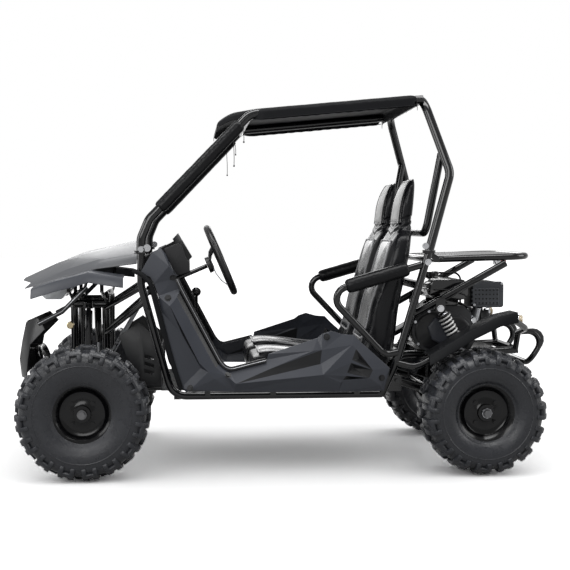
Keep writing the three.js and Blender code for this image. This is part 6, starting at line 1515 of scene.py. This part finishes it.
# The stage: a white floor that keeps the kart's shadow, a white surround, and large soft lamps
FLOOR = {"glossy": 0.4, "dim": 0.6, "bright": 5.2}
SURROUND = {"glossy": 0.2, "dim": 0.28, "bright": 1.0}
LAMPS = {
    "top_light": ((0.2, 1.0, 4.0), (0, 0, 0.5), (4.5, 1.4), 130),
    "near_light": ((1.8, 4.2, 2.6), (0, 0, 0.6), (3.0, 2.2), 80),
    "nose_light": ((4.4, 0.8, 1.8), (0.3, 0, 0.6), (2.4, 2.4), 60),
    "rear_light": ((-4.4, 1.2, 2.2), (-0.3, 0, 0.6), (2.4, 2.4), 60),
    "far_light": ((0, -4.4, 2.4), (0, 0, 0.6), (3.5, 2.4), 60),
}


def seen_level(tree, glossy, dim, bright):
    """Bright to the camera and through glass, part of that in a mirror, and dim as a light on the kart."""
    path = tree.node("ShaderNodeLightPath").outputs
    mirrored = tree.sum("MULTIPLY", path["Is Glossy Ray"], glossy)
    shown = tree.sum("MAXIMUM", path["Is Camera Ray"], path["Is Transmission Ray"])
    level = tree.node("ShaderNodeMapRange", Value=tree.sum("MAXIMUM", shown, mirrored), To_Min=dim, To_Max=bright)
    return level.outputs["Result"]


def white_floor():
    floor = put("floor", [(-30, -30, 0), (30, -30, 0), (30, 30, 0), (-30, 30, 0)], [(0, 1, 2, 3)], None)
    material = bpy.data.materials.new("white_floor")
    material.use_nodes = True
    nodes = material.node_tree.nodes
    nodes.remove(nodes["Principled BSDF"])
    tree = Tree(material.node_tree)
    level = seen_level(tree, **FLOOR)
    tint = tree.node("ShaderNodeCombineColor", Red=level, Green=level, Blue=level)
    matt = tree.node("ShaderNodeBsdfDiffuse", Color=tint.outputs[0])
    tree.join(matt.outputs[0], nodes["Material Output"].inputs["Surface"])
    floor.data.materials.append(material)
    return floor


def stage():
    floor = white_floor()
    world = bpy.data.worlds.new("studio")
    bpy.context.scene.world = world
    world.use_nodes = True
    sky = Tree(world.node_tree)
    back = world.node_tree.nodes["Background"]
    sky.join(seen_level(sky, **SURROUND), back.inputs["Strength"])
    back.inputs["Color"].default_value = (1, 1, 1, 1)
    bpy.context.scene.view_settings.view_transform = "Standard"
    lit = bpy.data.collections.new("lit_by_the_lamps")
    lit.objects.link(floor)
    lit.collection_objects[0].light_linking.link_state = "EXCLUDE"
    for name, (place, aim, size, power) in LAMPS.items():
        soft_lamp(name, place, aim, size, power)
        bpy.data.objects[name].light_linking.receiver_collection = lit


def plain_parts():
    for node, material, bevel in [
        ("hood", HOOD_SILVER, 1.4), ("front_fascia", COVER_BLACK, 1.4), ("floor_pan", MOULDED_BLACK, 0.8),
        ("dash_pod", COVER_BLACK, 2.0), ("engine", CAST_DARK, 1.0), ("fuel_tank", TANK_BLACK, 6.0),
        ("steering_shaft", FRAME_BLACK, 0.5), ("lower_shaft", ZINC, 0.5), ("rear_axle", ZINC, 0.6),
        ("brake_pedal", FRAME_BLACK, 0.8), ("throttle_pedal", FRAME_BLACK, 0.8), ("shift_lever", FRAME_BLACK, 0.8),
    ]:
        soften(node, material, bevel)
    for node, material, bevel in [
        ("front_fender", PANEL_GREY, 1.2), ("rear_fender", FENDER_GREY, 1.2), ("headlight", LENS_CLEAR, 1.2),
        ("knuckle", FRAME_BLACK, 0.8), ("tie_rod", ZINC, 0.6), ("front_shock_body", FRAME_BLACK, 0.6),
        ("front_shock_rod", ZINC, 0.5), ("rear_shock_body", FRAME_BLACK, 0.6), ("rear_shock_rod", ZINC, 0.5),
    ]:
        for side in SIDES:
            soften(f"{node}_{side}", material, bevel)


photograph_camera()
cords()
stage()
plain_parts()
frame_tubes()
rack_slats()
wheels()
roof_sheet()
sleeves()
seats()
side_panels()
dash_body()
steering_wheel()
muffler_guard()
engine_details()
rear_shocks()
fittings()
